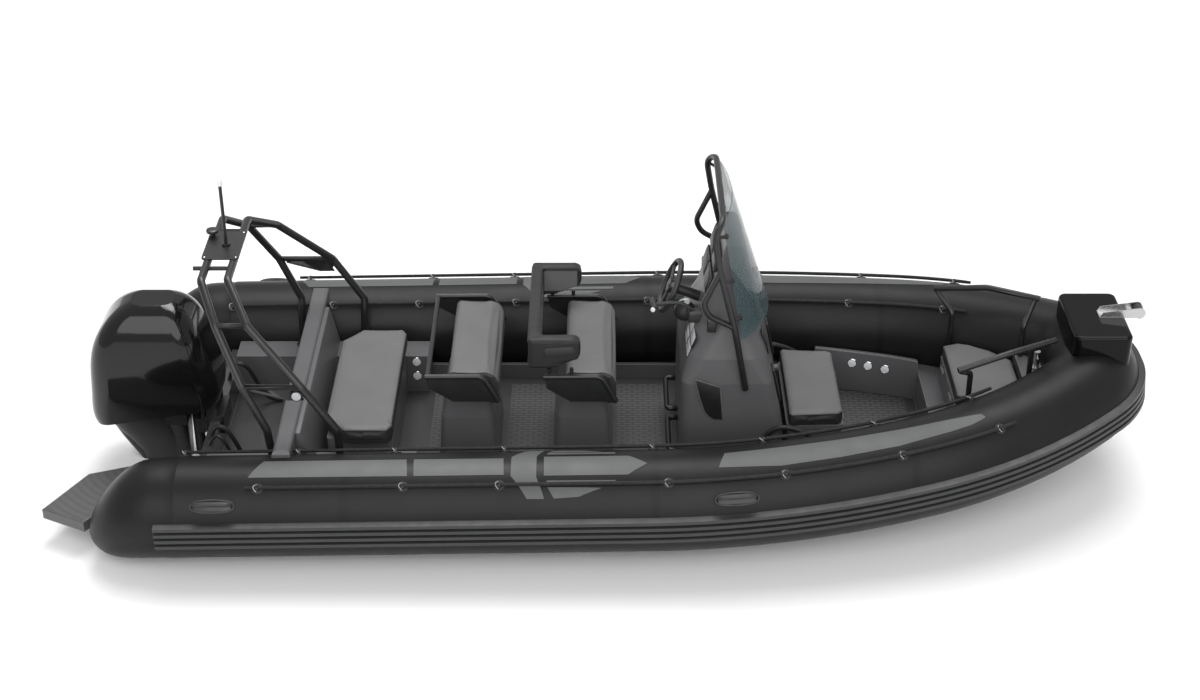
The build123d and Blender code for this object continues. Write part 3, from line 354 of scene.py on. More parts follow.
def screen_glass():
    """Clear plastic with a faint sea-green tint."""
    finish = Finish("windscreen glass", Specular_IOR_Level=0.15, Roughness=0.04, Alpha=0.46)
    cloud = finish.drift(1.5, 3)
    finish.feed("Base Color", finish.blend((0.070, 0.108, 0.116, 1), (0.078, 0.118, 0.126, 1), cloud))
    finish.material.surface_render_method = "BLENDED"
    return finish


def brushed_steel():
    finish = Finish("brushed stainless", Metallic=1.0)
    streak = finish.noise(60, 5, finish.stretched((1, 12, 12)))
    finish.feed("Base Color", finish.blend(grey(0.42), grey(0.62), streak))
    finish.feed("Roughness", finish.span(streak, 0.3, 0.7, 0.16, 0.34))
    return finish


FINISHES = {
    "hull_gelcoat": hull_gelcoat(),
    "deck_grey": deck_gelcoat("deck gelcoat", 0.092, 0.101),
    "sole_grey": deck_gelcoat("sole gelcoat", 0.038, 0.043),
    "platform_grey": platform_gelcoat(),
    "tube_fabric": tube_fabric(),
    "strake_rubber": speckled("strake rubber", 0.022, 0.027, 6, (0.38, 0.5), 220, 0.0003),
    "rope": braided("lifeline braid", 0.006),
    "fitting_rubber": speckled("moulded rubber", 0.020, 0.026, 8, (0.45, 0.6), 260, 0.0003),
    "cushion": vinyl("cushion vinyl", 0.112),
    "cushion_side": vinyl("cushion side vinyl", 0.026),
    "backrest_vinyl": vinyl("backrest vinyl", 0.115),
    "backrest_shell": vinyl("backrest shell vinyl", 0.014),
    "frame_black": speckled("powder coat", 0.010, 0.014, 12, (0.30, 0.42), 900, 0.00012),
    "lamp_white": speckled("lamp lens", 0.75, 0.82, 10, (0.1, 0.2), 60, 0),
    "console_grey": console_gelcoat(),
    "screen_glass": screen_glass(),
    "wheel_black": speckled("wheel foam", 0.018, 0.024, 10, (0.42, 0.55), 500, 0.0003),
    "steel": brushed_steel(),
    "step_gloss": speckled(
        "bow step gloss", 0.003, 0.004, 3, (0.08, 0.14), 60, 0,
        Specular_IOR_Level=0.12, Coat_Weight=0.08, Coat_Roughness=0.03,
    ),
    "engine_black": speckled("engine paint", 0.012, 0.016, 6, (0.28, 0.4), 400, 0.0002),
    "engine_iron": speckled("cast iron", 0.06, 0.1, 20, (0.5, 0.7), 200, 0.0006),
    "cowl_gloss": speckled(
        "cowl lacquer", 0.005, 0.006, 3, (0.10, 0.14), 60, 0,
        Specular_IOR_Level=0.25, Coat_Weight=0.30, Coat_Roughness=0.03,
    ),
    "patch_grey": speckled("tube patch", 0.082, 0.092, 3, (0.5, 0.6), 700, 0.0002, tint=(0.97, 1.0, 0.99)),
    "dark_trim": speckled("dark trim", 0.010, 0.014, 8, (0.3, 0.45), 300, 0.0002),
    "dial_black": speckled("dial glass", 0.004, 0.006, 10, (0.32, 0.40), 60, 0, Specular_IOR_Level=0.10),
    "grille_grey": speckled("grille plates", 0.42, 0.48, 12, (0.35, 0.5), 300, 0.0002),
    "white_webbing": speckled("white webbing", 0.30, 0.36, 30, (0.6, 0.75), 900, 0.0004),
    "red_lens": speckled("red lens", 0.5, 0.55, 10, (0.1, 0.2), 60, 0, tint=(1, 0.05, 0.03)),
    "chrome": speckled("polished steel", 0.7, 0.8, 8, (0.06, 0.12), 60, 0, Metallic=1.0),
}


def wear(node, finish):
    slots = NODES[node].data.materials
    slots.clear()
    slots.append(FINISHES[finish].material)


for entry in frame["record"]["subparts"]:
    wear(entry["node"], entry["material_slot"])
wear("swim_platforms", "platform_grey")
wear("cockpit_sole", "sole_grey")


# ---------------------------------------------------------------- making and finishing pieces
def let_go():
    bpy.ops.object.select_all(action="DESELECT")


def take(piece):
    let_go()
    piece.select_set(True)
    bpy.context.view_layer.objects.active = piece
    return piece


def edit(piece):
    """Opens a piece in edit mode with all of it selected."""
    take(piece)
    bpy.ops.object.mode_set(mode="EDIT")
    bpy.ops.mesh.select_all(action="SELECT")


def close():
    bpy.ops.object.mode_set(mode="OBJECT")


def close_facing_out():
    """Leaves edit mode with the selected faces pointing outwards."""
    bpy.ops.mesh.normals_make_consistent(inside=False)
    close()


def modify(piece, kind, **settings):
    """Adds a modifier, sets it and applies it."""
    take(piece)
    modifier = piece.modifiers.new(kind.title(), kind)
    for key, value in settings.items():
        setattr(modifier, key, value)
    bpy.ops.object.modifier_apply(modifier=modifier.name)
    return piece


def settle(piece, name, body, finish, smooth=35):
    """Names a piece, brings its object to the origin, gives it its finish and lets it ride."""
    take(piece)
    piece.name = name
    bpy.ops.object.transform_apply(location=True, rotation=True, scale=True)
    piece.data.materials.clear()
    piece.data.materials.append(FINISHES[finish].material)
    bpy.ops.object.shade_smooth_by_angle(angle=math.radians(smooth))
    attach(piece, body)
    let_go()
    return piece


def block(low, high, bevel=0.004, segments=3):
    """A bevelled block between two corners."""
    low, high = Vector(low), Vector(high)
    let_go()
    bpy.ops.mesh.primitive_cube_add(size=1, location=(low + high) / 2)
    piece = bpy.context.object
    piece.scale = high - low
    bpy.ops.object.transform_apply(location=True, rotation=True, scale=True)
    if bevel:
        modify(piece, "BEVEL", width=bevel, segments=segments, limit_method="ANGLE")
    return piece


def disc(centre, way, radius, depth, bevel=0.001, sides=32):
    """A short round with a softened edge."""
    let_go()
    bpy.ops.mesh.primitive_cylinder_add(vertices=sides, radius=radius, depth=depth, location=centre)
    piece = bpy.context.object
    piece.rotation_euler = Vector(way).to_track_quat("Z", "Y").to_euler()
    bpy.ops.object.transform_apply(location=True, rotation=True, scale=True)
    if bevel:
        modify(piece, "BEVEL", width=bevel, segments=2, limit_method="ANGLE")
    return piece


def panel(centre, across, up, size, thick, bevel):
    """A flat plate square to a slope: across and up are its own axes."""
    across, up = Vector(across).normalized(), Vector(up).normalized()
    out = across.cross(up)
    let_go()
    bpy.ops.mesh.primitive_cube_add(size=1)
    piece = bpy.context.object
    piece.scale = (size[0], size[1], thick)
    bpy.ops.object.transform_apply(scale=True)
    modify(piece, "BEVEL", width=bevel, segments=3, limit_method="ANGLE")
    turn = Matrix((across, up, out)).transposed().to_4x4()
    turn.translation = Vector(centre) + out * thick / 2
    piece.data.transform(turn)
    return piece


def ring(centre, way, radius, thick, around=40, across=10):
    let_go()
    bpy.ops.mesh.primitive_torus_add(
        major_radius=radius, minor_radius=thick, major_segments=around, minor_segments=across, location=centre
    )
    piece = bpy.context.object
    piece.rotation_euler = Vector(way).to_track_quat("Z", "Y").to_euler()
    bpy.ops.object.transform_apply(location=True, rotation=True, scale=True)
    return piece


def hose(points, radius, closed=False, kind="NURBS"):
    """A round run through points, as a mesh."""
    let_go()
    line = bpy.data.curves.new("run", "CURVE")
    line.dimensions = "3D"
    spline = line.splines.new(kind)
    spline.points.add(len(points) - 1)
    for point, place in zip(spline.points, points):
        point.co = (*place, 1)
    if kind == "NURBS":
        spline.order_u = 3
        spline.use_endpoint_u = not closed
    spline.use_cyclic_u = closed
    line.bevel_depth = radius
    line.bevel_resolution = 3
    line.resolution_u = 8
    line.use_fill_caps = True
    piece = bpy.data.objects.new("run", line)
    bpy.context.scene.collection.objects.link(piece)
    take(piece)
    bpy.ops.object.convert(target="MESH")
    return bpy.context.object


def join(pieces):
    let_go()
    for piece in pieces:
        piece.select_set(True)
    bpy.context.view_layer.objects.active = pieces[0]
    if len(pieces) > 1:
        bpy.ops.object.join()
    return bpy.context.object


def both_sides(piece):
    """Adds the piece's twin across the centreline."""
    return modify(piece, "MIRROR", use_axis=(False, True, False), use_mirror_merge=False)


def bent(points, bend):
    """The corners of a run of straight pieces, each rounded off over a length."""
    places = [Vector(point) for point in points]
    run = [places[0]]
    for before, corner, after in zip(places, places[1:], places[2:]):
        start = corner + (before - corner).normalized() * min(bend, (before - corner).length * 0.48)
        end = corner + (after - corner).normalized() * min(bend, (after - corner).length * 0.48)
        for step in range(6):
            t = step / 5
            run.append(start * (1 - t) ** 2 + corner * 2 * t * (1 - t) + end * t * t)
    run.append(places[-1])
    return [tuple(place) for place in run]


# ---------------------------------------------------------------- cushions
def copy_of(node, name):
    """A copy of a CAD node with its loose triangles sewn together."""
    piece = bpy.data.objects.new(name, NODES[node].data.copy())
    bpy.context.scene.collection.objects.link(piece)
    edit(piece)
    bpy.ops.mesh.remove_doubles(threshold=0.0002)
    close()
    return piece


COVER = {"quality": 4, "mass": 0.3, "tension_stiffness": 18, "compression_stiffness": 18, "bending_stiffness": 1.2}
COVER_FRAMES = 16


def swollen(piece, pressure, cap, rest_below):
    """Foam under a tight cover: the form swells, but lies flat where it rests."""
    start = [v.co.copy() for v in piece.data.vertices]
    cloth = piece.modifiers.new("Cover", "CLOTH")
    for key, value in COVER.items():
        setattr(cloth.settings, key, value)
    cloth.settings.use_pressure = True
    cloth.settings.uniform_pressure_force = pressure
    cloth.settings.effector_weights.gravity = 0
    scene = bpy.context.scene
    for step in range(1, COVER_FRAMES + 1):
        scene.frame_set(step)
    take(piece)
    bpy.ops.object.modifier_apply(modifier=cloth.name)
    scene.frame_set(1)
    for vertex, old in zip(piece.data.vertices, start):
        move = vertex.co - old
        if move.length > cap:
            move = move.normalized() * cap
        vertex.co = old + move
        if old.z < rest_below:
            vertex.co.z = max(vertex.co.z, old.z)
    return piece


def piping(cushion, place, way, radius=0.0032):
    """A corded seam where a plane cuts the cushion."""
    seam = bpy.data.objects.new("seam", cushion.data.copy())
    bpy.context.scene.collection.objects.link(seam)
    edit(seam)
    bpy.ops.mesh.bisect(plane_co=place, plane_no=way, clear_inner=True, clear_outer=True)
    close()
    bpy.ops.object.convert(target="CURVE")
    seam = bpy.context.object
    seam.data.bevel_depth = radius
    seam.data.bevel_resolution = 2
    bpy.ops.object.convert(target="MESH")
    return bpy.context.object


VOXEL = 0.008
SKIN_DROP = 0.004          # the form shrinks by this before it swells
REST_BAND = 0.02           # the lowest part of a cushion, which stays flat
SMOOTHING = {"factor": 0.5, "iterations": 3}


def upholster(
    node, name, body, seams, top, panel="cushion", shell="cushion_side", pressure=2.5, cap=0.0045, flat=True, cuts=()
):
    """A stuffed cushion in the place of its CAD block: top(place, normal) says where the pale panel is."""
    cushion = copy_of(node, name)
    low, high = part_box(node)
    for place, way in cuts:
        edit(cushion)
        bpy.ops.mesh.bisect(plane_co=place, plane_no=way, use_fill=True, clear_outer=True)
        close()
    edit(cushion)
    bpy.ops.transform.shrink_fatten(value=-SKIN_DROP)
    close()
    cushion.data.remesh_voxel_size = VOXEL
    take(cushion)
    bpy.ops.object.voxel_remesh()
    modify(cushion, "SMOOTH", **SMOOTHING)
    swollen(cushion, pressure, cap, low.z + REST_BAND if flat else -math.inf)
    modify(cushion, "SUBSURF", levels=1, render_levels=1)
    pipes = [piping(cushion, place, way) for place, way in seams]
    settle(cushion, name, body, panel, smooth=60)
    cushion.data.materials.append(FINISHES[shell].material)
    for face in cushion.data.polygons:
        face.material_index = 0 if top(face.center, face.normal) else 1
    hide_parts(node)
    if pipes:
        settle(join(pipes), name + "_piping", body, shell, smooth=60)
    return cushion


def level_seams(node, *shares):
    """Horizontal seam planes at shares of the node's height."""
    low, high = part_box(node)
    return [((low + (high - low) * share), (0, 0, 1)) for share in shares]


def side_seams(node, inset):
    low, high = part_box(node)
    return [((0, low.y + inset, 0), (0, 1, 0)), ((0, high.y - inset, 0), (0, 1, 0))]


def above(node, share):
    """The pale panel is what lies above a share of the node's height."""
    low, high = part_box(node)
    level = low.z + (high.z - low.z) * share
    return lambda place, normal: place.z > level


def between_sides(node, inset):
    low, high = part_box(node)
    return lambda place, normal: low.y + inset < place.y < high.y - inset


def corner_cuts(node, radius):
    """Planes that round off the fore corners of the backrest's wings, the lower ones with a slant."""
    low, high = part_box(node)
    cuts = []
    for turns, level in (((22.5, 45, 67.5), high.z - radius), ((-30, -68), low.z + 1.9 * radius)):
        for turn in turns:
            way = Vector((math.cos(math.radians(turn)), 0, math.sin(math.radians(turn))))
            cuts.append((Vector((high.x - radius, 0, level)) + way * radius, way))
    return cuts


PANEL_LEVELS = (0.895, 1.035)
BACK_HALF = 0.34           # half of the width between the wings
WING_PANEL_END_X = -0.135


def backrest_inside(place, normal):
    """The faces that the person leans on: the back's front and the wings' inner sides."""
    if not PANEL_LEVELS[0] < place.z < PANEL_LEVELS[1]:
        return False
    if abs(place.y) < BACK_HALF:
        return normal.x > 0.6
    return normal.y * place.y < -0.2 and place.x < WING_PANEL_END_X


SADDLE_END = 0.018         # width of the dark band at a saddle's ends


def saddle(node):
    return side_seams(node, SADDLE_END), between_sides(node, SADDLE_END)


def box_pad(node, share):
    return level_seams(node, share), above(node, share)


upholster("stern_bench_cushion", "bench_pad", "boat", *box_pad("stern_bench_cushion", 0.86))
upholster("aft_seat_cushion", "aft_saddle_pad", "boat", *saddle("aft_seat_cushion"))
upholster("fore_seat_cushion", "fore_saddle_pad", "boat", *saddle("fore_seat_cushion"))
upholster(
    "fore_seat_backrest", "backrest_pad", "boat", level_seams("fore_seat_backrest", 0.14, 0.87), backrest_inside,
    panel="backrest_vinyl", shell="backrest_shell", pressure=1.2, cap=0.002, flat=False,
    cuts=corner_cuts("fore_seat_backrest", 0.055),
)
upholster("console_seat_cushion", "console_seat_pad", "console_seat_hatch", *box_pad("console_seat_cushion", 0.84))
upholster("bow_cushion", "bow_pad", "bow_locker_hatch", *box_pad("bow_cushion", 0.84))

# ---------------------------------------------------------------- glued patches on the tubes
MIDDLE_Y = -1.039          # the pattern's own centreline, starboard


def twin(stations):
    """The same patch across the pattern's centreline."""
    return [(xa, 2 * MIDDLE_Y - ya, xb, 2 * MIDDLE_Y - yb) for xa, ya, xb, yb in stations]


# Each patch: stations of outboard x, y and inboard x, y.
THIN = [(-0.288, -1.161, -0.288, -1.138), (0.082, -1.161, 0.084, -1.140)]
SLIVER = [
    (-0.249, -1.214, -0.284, -1.170), (-0.115, -1.209, -0.115, -1.172), (0.005, -1.177, 0.005, -1.175),
]
PATCHES = {
    "long_patch": [(-1.908, -1.101, -1.835, -0.976), (-1.044, -1.104, -1.055, -0.976)],
    "short_patch": [(-1.009, -1.104, -1.016, -0.976), (-0.521, -1.104, -0.526, -0.978)],
    "arrow_patch": [
        (-0.303, -1.112, -0.306, -0.966), (0.151, -1.112, 0.158, -0.968), (0.255, -1.041, 0.255, -1.038),
    ],
    "chevron_patch": [
        (-0.395, -1.214, -0.301, -1.215), (-0.483, -1.112, -0.345, -1.119),
        (-0.483, -0.966, -0.345, -0.959), (-0.395, -0.864, -0.301, -0.863),
    ],
    "thin_patch": THIN,
    "thin_patch_inboard": twin(THIN),
    "sliver_patch": SLIVER,
    "sliver_patch_inboard": twin(SLIVER),
    "bow_patch": [
        (0.643, -1.076, 0.680, -0.965), (0.980, -1.068, 0.990, -0.926),
        (1.314, -1.015, 1.327, -0.880), (1.636, -0.947, 1.650, -0.825),
        (1.919, -0.858, 1.931, -0.765), (2.040, -0.812, 2.050, -0.741),
        (2.100, -0.778, 2.107, -0.732), (2.126, -0.757, 2.127, -0.752),
    ],
}


PATCH_ABOVE_Z = 1.3        # a patch starts over the tube and is laid down on it


def patch(stations, across=10, step=0.012):
    """A strip between two edges, laid on the starboard tube from above."""
    rows = []
    for a, b in zip(stations, stations[1:]):
        length = max(math.dist(a[:2], b[:2]), math.dist(a[2:], b[2:]))
        count = max(2, round(length / step))
        for i in range(count):
            rows.append([p + (q - p) * i / count for p, q in zip(a, b)])
    rows.append(list(stations[-1]))
    let_go()
    bpy.ops.mesh.primitive_grid_add(x_subdivisions=len(rows) - 1, y_subdivisions=across, size=1, location=(0, 0, 0))
    sheet = bpy.context.object
    for vertex in sheet.data.vertices:
        xa, ya, xb, yb = rows[round((vertex.co.x + 0.5) * (len(rows) - 1))]
        share = vertex.co.y + 0.5
        vertex.co = (xa + (xb - xa) * share, ya + (yb - ya) * share, PATCH_ABOVE_Z)
    modify(
        sheet, "SHRINKWRAP", target=NODES["tube_starboard"], wrap_method="PROJECT", use_project_z=True,
        use_negative_direction=True, use_positive_direction=False, offset=0.0008,
    )
    edit(sheet)
    close_facing_out()
    if sum(p.normal.z for p in sheet.data.polygons) < 0:
        sheet.data.flip_normals()
    modify(sheet, "SOLIDIFY", thickness=0.0012, offset=1)
    return sheet


patches = both_sides(join([patch(stations) for stations in PATCHES.values()]))
settle(patches, "tube_patches", "boat", "patch_grey")

# ---------------------------------------------------------------- lifeline loops and grab handles
# Where each lifeline is held, port side: place on the rope, direction of the rope, way out of the tube.
HOLDS = [
    ((-1.849, 1.1713, 0.5549), (1, 0, 0.017), (-0.013, 0.588, 0.809)),
    ((-1.064, 1.1713, 0.5679), (1, 0, 0.017), (-0.013, 0.588, 0.809)),
    ((-0.544, 1.1713, 0.5766), (1, 0, 0.017), (-0.013, 0.588, 0.809)),
    ((0.369, 1.1701, 0.5921), (1, -0.02, 0.023), (-0.007, 0.588, 0.809)),
    ((1.0027, 1.1245, 0.6165), (0.991, -0.123, 0.054), (0.028, 0.585, 0.81)),
    ((1.647, 1.0091, 0.6625), (0.97, -0.228, 0.086), (0.064, 0.579, 0.813)),
    ((2.2031, 0.8304, 0.7191), (0.91, -0.401, 0.104), (0.149, 0.55, 0.822)),
    ((-2.294, 0.8187, 0.5476), (1, 0, 0.017), (-0.013, -0.588, 0.809)),
    ((-1.664, 0.8187, 0.558), (1, 0, 0.017), (-0.013, -0.588, 0.809)),
    ((-1.129, 0.8187, 0.5669), (1, 0, 0.017), (-0.013, -0.588, 0.809)),
    ((-0.524, 0.8187, 0.5769), (1, 0, 0.017), (-0.013, -0.588, 0.809)),
    ((0.2943, 0.8185, 0.5905), (1, -0.008, 0.019), (-0.02, -0.588, 0.809)),
    ((0.9017, 0.7814, 0.6119), (0.992, -0.113, 0.051), (-0.108, -0.582, 0.806)),
    ((1.529, 0.6744, 0.6551), (0.972, -0.222, 0.084), (-0.198, -0.567, 0.799)),
    ((2.0804, 0.4992, 0.7108), (0.906, -0.409, 0.104), (-0.327, -0.524, 0.786)),
]


def webbing_loop(place, along, out):
    """A white strap bent round the rope, open on its fore side."""
    place, along, out = Vector(place), Vector(along).normalized(), Vector(out).normalized()
    across = out.cross(along)
    return hose(
        [
            place - along * 0.004 + across * 0.021 - out * 0.010,
            place - along * 0.016 + across * 0.012 + out * 0.004,
            place - along * 0.020 + out * 0.009,
            place - along * 0.016 - across * 0.012 + out * 0.004,
            place - along * 0.004 - across * 0.021 - out * 0.010,
        ],
        0.0026,
    )


def pad_rim(place, along, out):
    place, out = Vector(place), Vector(out).normalized()
    return ring(place - out * 0.0170, out, 0.0295, 0.0020, 36, 6)


loops = both_sides(join([webbing_loop(*hold) for hold in HOLDS]))
settle(loops, "lifeline_loops", "boat", "white_webbing")
pads = both_sides(join([pad_rim(*hold) for hold in HOLDS]))
settle(pads, "pad_rims", "boat", "dark_trim")


# Each starboard handle: middle on the tube's skin, direction ahead, way out.
HANDLES = [
    ((-2.09, -1.2290, 0.4716), (1, 0, 0.017), (0, -0.819, 0.574)),
    ((0.737, -1.2270, 0.5210), (0.997, 0.075, 0.026), (0.061, -0.816, 0.574)),
]


def handle_parts(middle, along, out):
    """A recessed base, a dark plate that paints the shade in the recess, the raised rim round it and the grip over it.
    """
    middle, along, out = Vector(middle), Vector(along).normalized(), Vector(out).normalized()
    up = out.cross(along)
    half, tall = 0.118, 0.034

    def at(a, b, c):
        return middle + along * a + up * b + out * c

    corners_of_rim = [(-half, -tall), (-half, tall), (half, tall), (half, -tall)]
    rim = hose([at(a, b, -0.001) for a, b in corners_of_rim], 0.0055, closed=True)
    # painted shade: the base plate is darker than the handle's rubber, for the shade in the recess under the grip
    base = panel(at(0, 0, -0.004), along, up, (2 * half - 0.03, 2 * tall - 0.012), 0.006, 0.002)
    arch = [(-0.100, 0.010, 0.0), (-0.092, 0.010, 0.022), (0, 0.012, 0.030), (0.092, 0.010, 0.022), (0.100, 0.010, 0.0)]
    grip = hose([at(*point) for point in arch], 0.0125)
    return rim, base, grip


handle_sets = [handle_parts(*handle) for handle in HANDLES]
rims, recess_shade_plates, grips = [both_sides(join(list(kind))) for kind in zip(*handle_sets)]
settle(rims, "handle_rims", "boat", "fitting_rubber")
settle(recess_shade_plates, "handle_recess_shades", "boat", "dark_trim")
settle(grips, "handle_grips", "boat", "fitting_rubber")
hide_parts("tube_handles")

# ---------------------------------------------------------------- helm and console
ACROSS = Vector((0, -1, 0))
DASH_UP = Vector((0.054, 0, 0.16)).normalized()      # slope of the console's aft face under the wheel
POD_UP = Vector((0.085, 0, 0.28)).normalized()       # slope of its instrument pod


def grille_cells(reach):
    """Two by two plates on the dash, each standing off by reach."""
    out = ACROSS.cross(DASH_UP)
    cells = []
    for row in (0, 1):
        for column in (0, 1):
            middle = Vector((0.5445, -0.125 - 0.142 * column, 1.0)) - DASH_UP * (0.035 + 0.072 * row)
            size = (0.142, 0.072) if reach < 0 else (0.122, 0.058)
            cells.append(panel(middle + out * reach, ACROSS, DASH_UP, size, 0.010, 0.004))
    return join(cells)


settle(grille_cells(-0.004), "grille_frames", "boat", "dark_trim")
settle(grille_cells(0.0), "grille_plates", "boat", "grille_grey")

screens, glasses = [], []
for y in (-0.105, 0.105):
    for low in (1.235, 1.375):
        middle = Vector((0.605 + (low - 1.2) * 0.3036, y, low))
        screens.append(panel(middle + POD_UP * 0.02, ACROSS, POD_UP, (0.19, 0.115), 0.016, 0.006))
        face = middle + POD_UP * 0.02 + ACROSS.cross(POD_UP) * 0.0125
        glasses.append(panel(face, ACROSS, POD_UP, (0.165, 0.092), 0.006, 0.003))
settle(join(screens), "instrument_bezels", "boat", "dark_trim")
settle(join(glasses), "instrument_faces", "boat", "dial_black")

# a white disc on the compass: the compass card, and a painted highlight on the dome's top
card_and_highlight = disc((0.4855, 0, 1.040), (-0.25, 0, 1), 0.036, 0.012, 0.004)
settle(card_and_highlight, "compass_card_and_highlight", "boat", "lamp_white")


def side_plate(outline, y, thick, bevel=0.0015):
    """A thin plate against the console's starboard side: outline gives x and z."""
    let_go()
    bpy.ops.mesh.primitive_circle_add(vertices=len(outline), radius=0.1, fill_type="NGON")
    piece = bpy.context.object
    for vertex, (x, z) in zip(piece.data.vertices, outline):
        vertex.co = (x, y, z)
    edit(piece)
    close_facing_out()
    if piece.data.polygons[0].normal.y > 0:
        piece.data.flip_normals()
    modify(piece, "SOLIDIFY", thickness=thick, offset=0)
    modify(piece, "BEVEL", width=bevel, segments=2, limit_method="ANGLE")
    return piece


POCKET = [
    (0.541, 0.782), (0.677, 0.734), (0.697, 0.521), (0.650, 0.524), (0.620, 0.545), (0.597, 0.578), (0.569, 0.666),
]
POCKET_LIP = [
    (0.533, 0.792), (0.685, 0.738), (0.706, 0.513), (0.648, 0.515), (0.613, 0.537), (0.588, 0.573), (0.560, 0.664),
]
settle(both_sides(side_plate(POCKET_LIP, -0.4385, 0.010)), "pocket_lips", "boat", "console_grey")
# the pocket is not cut: a dark plate paints the shade inside it
settle(both_sides(side_plate(POCKET, -0.4420, 0.008)), "pocket_shade_plates", "boat", "dark_trim")

# Vents down the console's fore face, a pair on each side.
vents = []
for x, z, tall in ((0.930, 0.945, 0.15), (1.008, 0.66, 0.21)):
    lean = Vector((-0.045, 0, 0.16)).normalized() if z > 0.8 else Vector((-0.07, 0, 0.30)).normalized()
    vents.append(panel((x - 0.002, -0.26, z), -ACROSS, lean, (0.09, tall), 0.012, 0.004))
settle(both_sides(join(vents)), "console_vents", "boat", "dark_trim")

# Insets on the outer sides of the backrest's wings.
back_low, back_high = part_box("fore_seat_backrest")
INSET = [(0.32, 0.40), (0.32, 0.72), (0.84, 0.78), (0.90, 0.60), (0.78, 0.44)]
back_size = back_high - back_low
inset_outline = [(back_low.x + back_size.x * a, back_low.z + back_size.z * b) for a, b in INSET]
inset = side_plate(inset_outline, back_low.y - 0.0005, 0.006)
settle(both_sides(inset), "wing_insets", "boat", "wheel_black")

# Throttle: a base on the dash, the arm and its grip.
base = block((0.500, -0.235, 1.035), (0.585, -0.165, 1.100), 0.010)
arm = hose([(0.540, -0.200, 1.085), (0.480, -0.200, 1.150), (0.380, -0.200, 1.150), (0.300, -0.200, 1.135)], 0.011)
grip = hose([(0.315, -0.250, 1.135), (0.300, -0.200, 1.137), (0.300, -0.140, 1.137)], 0.019)
settle(join([base, arm, grip]), "throttle", "boat", "wheel_black")
button = disc((0.298, -0.255, 1.135), (-0.3, -1, 0), 0.013, 0.010)
settle(button, "throttle_button", "boat", "lamp_white")

socket = block((0.600, -0.385, 1.060), (0.650, -0.340, 1.135), 0.006)
settle(both_sides(socket), "side_sockets", "boat", "dark_trim")
settle(disc((0.886, 0, 1.255), (0, 0, 1), 0.016, 0.03, 0.005), "bow_lamp", "boat", "red_lens")

# Low grab hoops that stand on the sole beside the seat ahead of the console.
SEAT_HOOP_Y = -0.466
SEAT_HOOP = [
    (0.940, 0.112), (0.945, 0.398), (0.961, 0.440), (0.990, 0.467), (1.044, 0.485),
    (1.124, 0.462), (1.202, 0.426), (1.240, 0.370), (1.245, 0.112),
]
rail = hose([(x, SEAT_HOOP_Y, z) for x, z in SEAT_HOOP], 0.014)
settle(both_sides(rail), "side_grab_rails", "boat", "frame_black")

# ---------------------------------------------------------------- moulded edges of the cockpit
WALL_RISE = 0.062          # the bow walls' lip stands this far over the deck boxes
WALL_SPLIT_Z = 0.2         # what lies over this level rises


def raised_copy(node, name, split, rise):
    """A copy of a CAD node whose part over a level stands higher, with softened edges."""
    piece = copy_of(node, name)
    for vertex in piece.data.vertices:
        if vertex.co.z > split:
            vertex.co.z += rise
    modify(piece, "BEVEL", width=0.007, segments=3, limit_method="ANGLE", angle_limit=math.radians(40))
    return piece


def wedge(profile, half):
    """A solid with one outline, seen from the side, right across the boat."""
    let_go()
    bpy.ops.mesh.primitive_circle_add(vertices=len(profile), radius=1, fill_type="NGON", location=(0, 0, 0))
    piece = bpy.context.object
    for vertex, (x, z) in zip(piece.data.vertices, profile):
        vertex.co = (x, -half, z)
    edit(piece)
    bpy.ops.mesh.extrude_region_move(TRANSFORM_OT_translate={"value": (0, 2 * half, 0)})
    bpy.ops.mesh.select_all(action="SELECT")
    close_facing_out()
    return piece


# The bulkhead's fore side slopes down to the sole.
SLOPE = [(-1.702, 0.114), (-1.565, 0.114), (-1.672, 0.604), (-1.702, 0.604)]
SLOPE_HALF = 0.708
slope = modify(wedge(SLOPE, SLOPE_HALF), "BEVEL", width=0.006, segments=3, limit_method="ANGLE")
settle(slope, "bulkhead_slope", "boat", "deck_grey")

bow_walls = raised_copy("bow_side_decks", "bow_walls", WALL_SPLIT_Z, WALL_RISE)
settle(bow_walls, "bow_walls", "boat", "deck_grey")
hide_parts("bow_side_decks")

# Lamps in the cockpit's sides: on the stern side decks, and let into the bow walls.
LAMPS = [(Vector((-1.132, 0.5195, z)), Vector((0, -1, 0))) for z in (0.321, 0.221)]
for x, z in ((1.556, 0.312), (1.652, 0.306), (1.754, 0.298)):
    found, place, way, face = bow_walls.ray_cast((x, 0, z), (0, 1, 0))
    LAMPS.append((place, way))
rims = [ring(place, way, 0.027, 0.0045) for place, way in LAMPS]
lenses = [disc(place, way, 0.025, 0.010) for place, way in LAMPS]
settle(both_sides(join(rims)), "cockpit_lamp_rims", "boat", "chrome")
settle(both_sides(join(lenses)), "cockpit_lamp_lenses", "boat", "lamp_white")

# ---------------------------------------------------------------- ropes and pipes at their full thickness
def thickened(node, name, grow, finish, body="boat"):
    """A copy of a CAD node with its skin moved out a little, for covers and powder coat."""
    piece = copy_of(node, name)
    edit(piece)
    bpy.ops.mesh.normals_make_consistent(inside=False)
    bpy.ops.transform.shrink_fatten(value=grow)
    close()
    settle(piece, name, body, finish)
    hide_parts(node)
    return piece


ROPE_COVER = 0.0050
POWDER_COAT = 0.0030
for node in ("lifeline_outer", "lifeline_inner"):
    thickened(node, node + "_braid", ROPE_COVER, "rope")
for node in ("roll_bar_aft_hoop", "roll_bar_fore_hoop", "roll_bar_ties", "bow_rails"):
    thickened(node, node + "_coated", POWDER_COAT, "frame_black")
thickened("foot_rails", "foot_rails_coated", 0.0025, "frame_black")
thickened("helm_wheel", "wheel_foam", 0.0030, "wheel_black", body="helm")

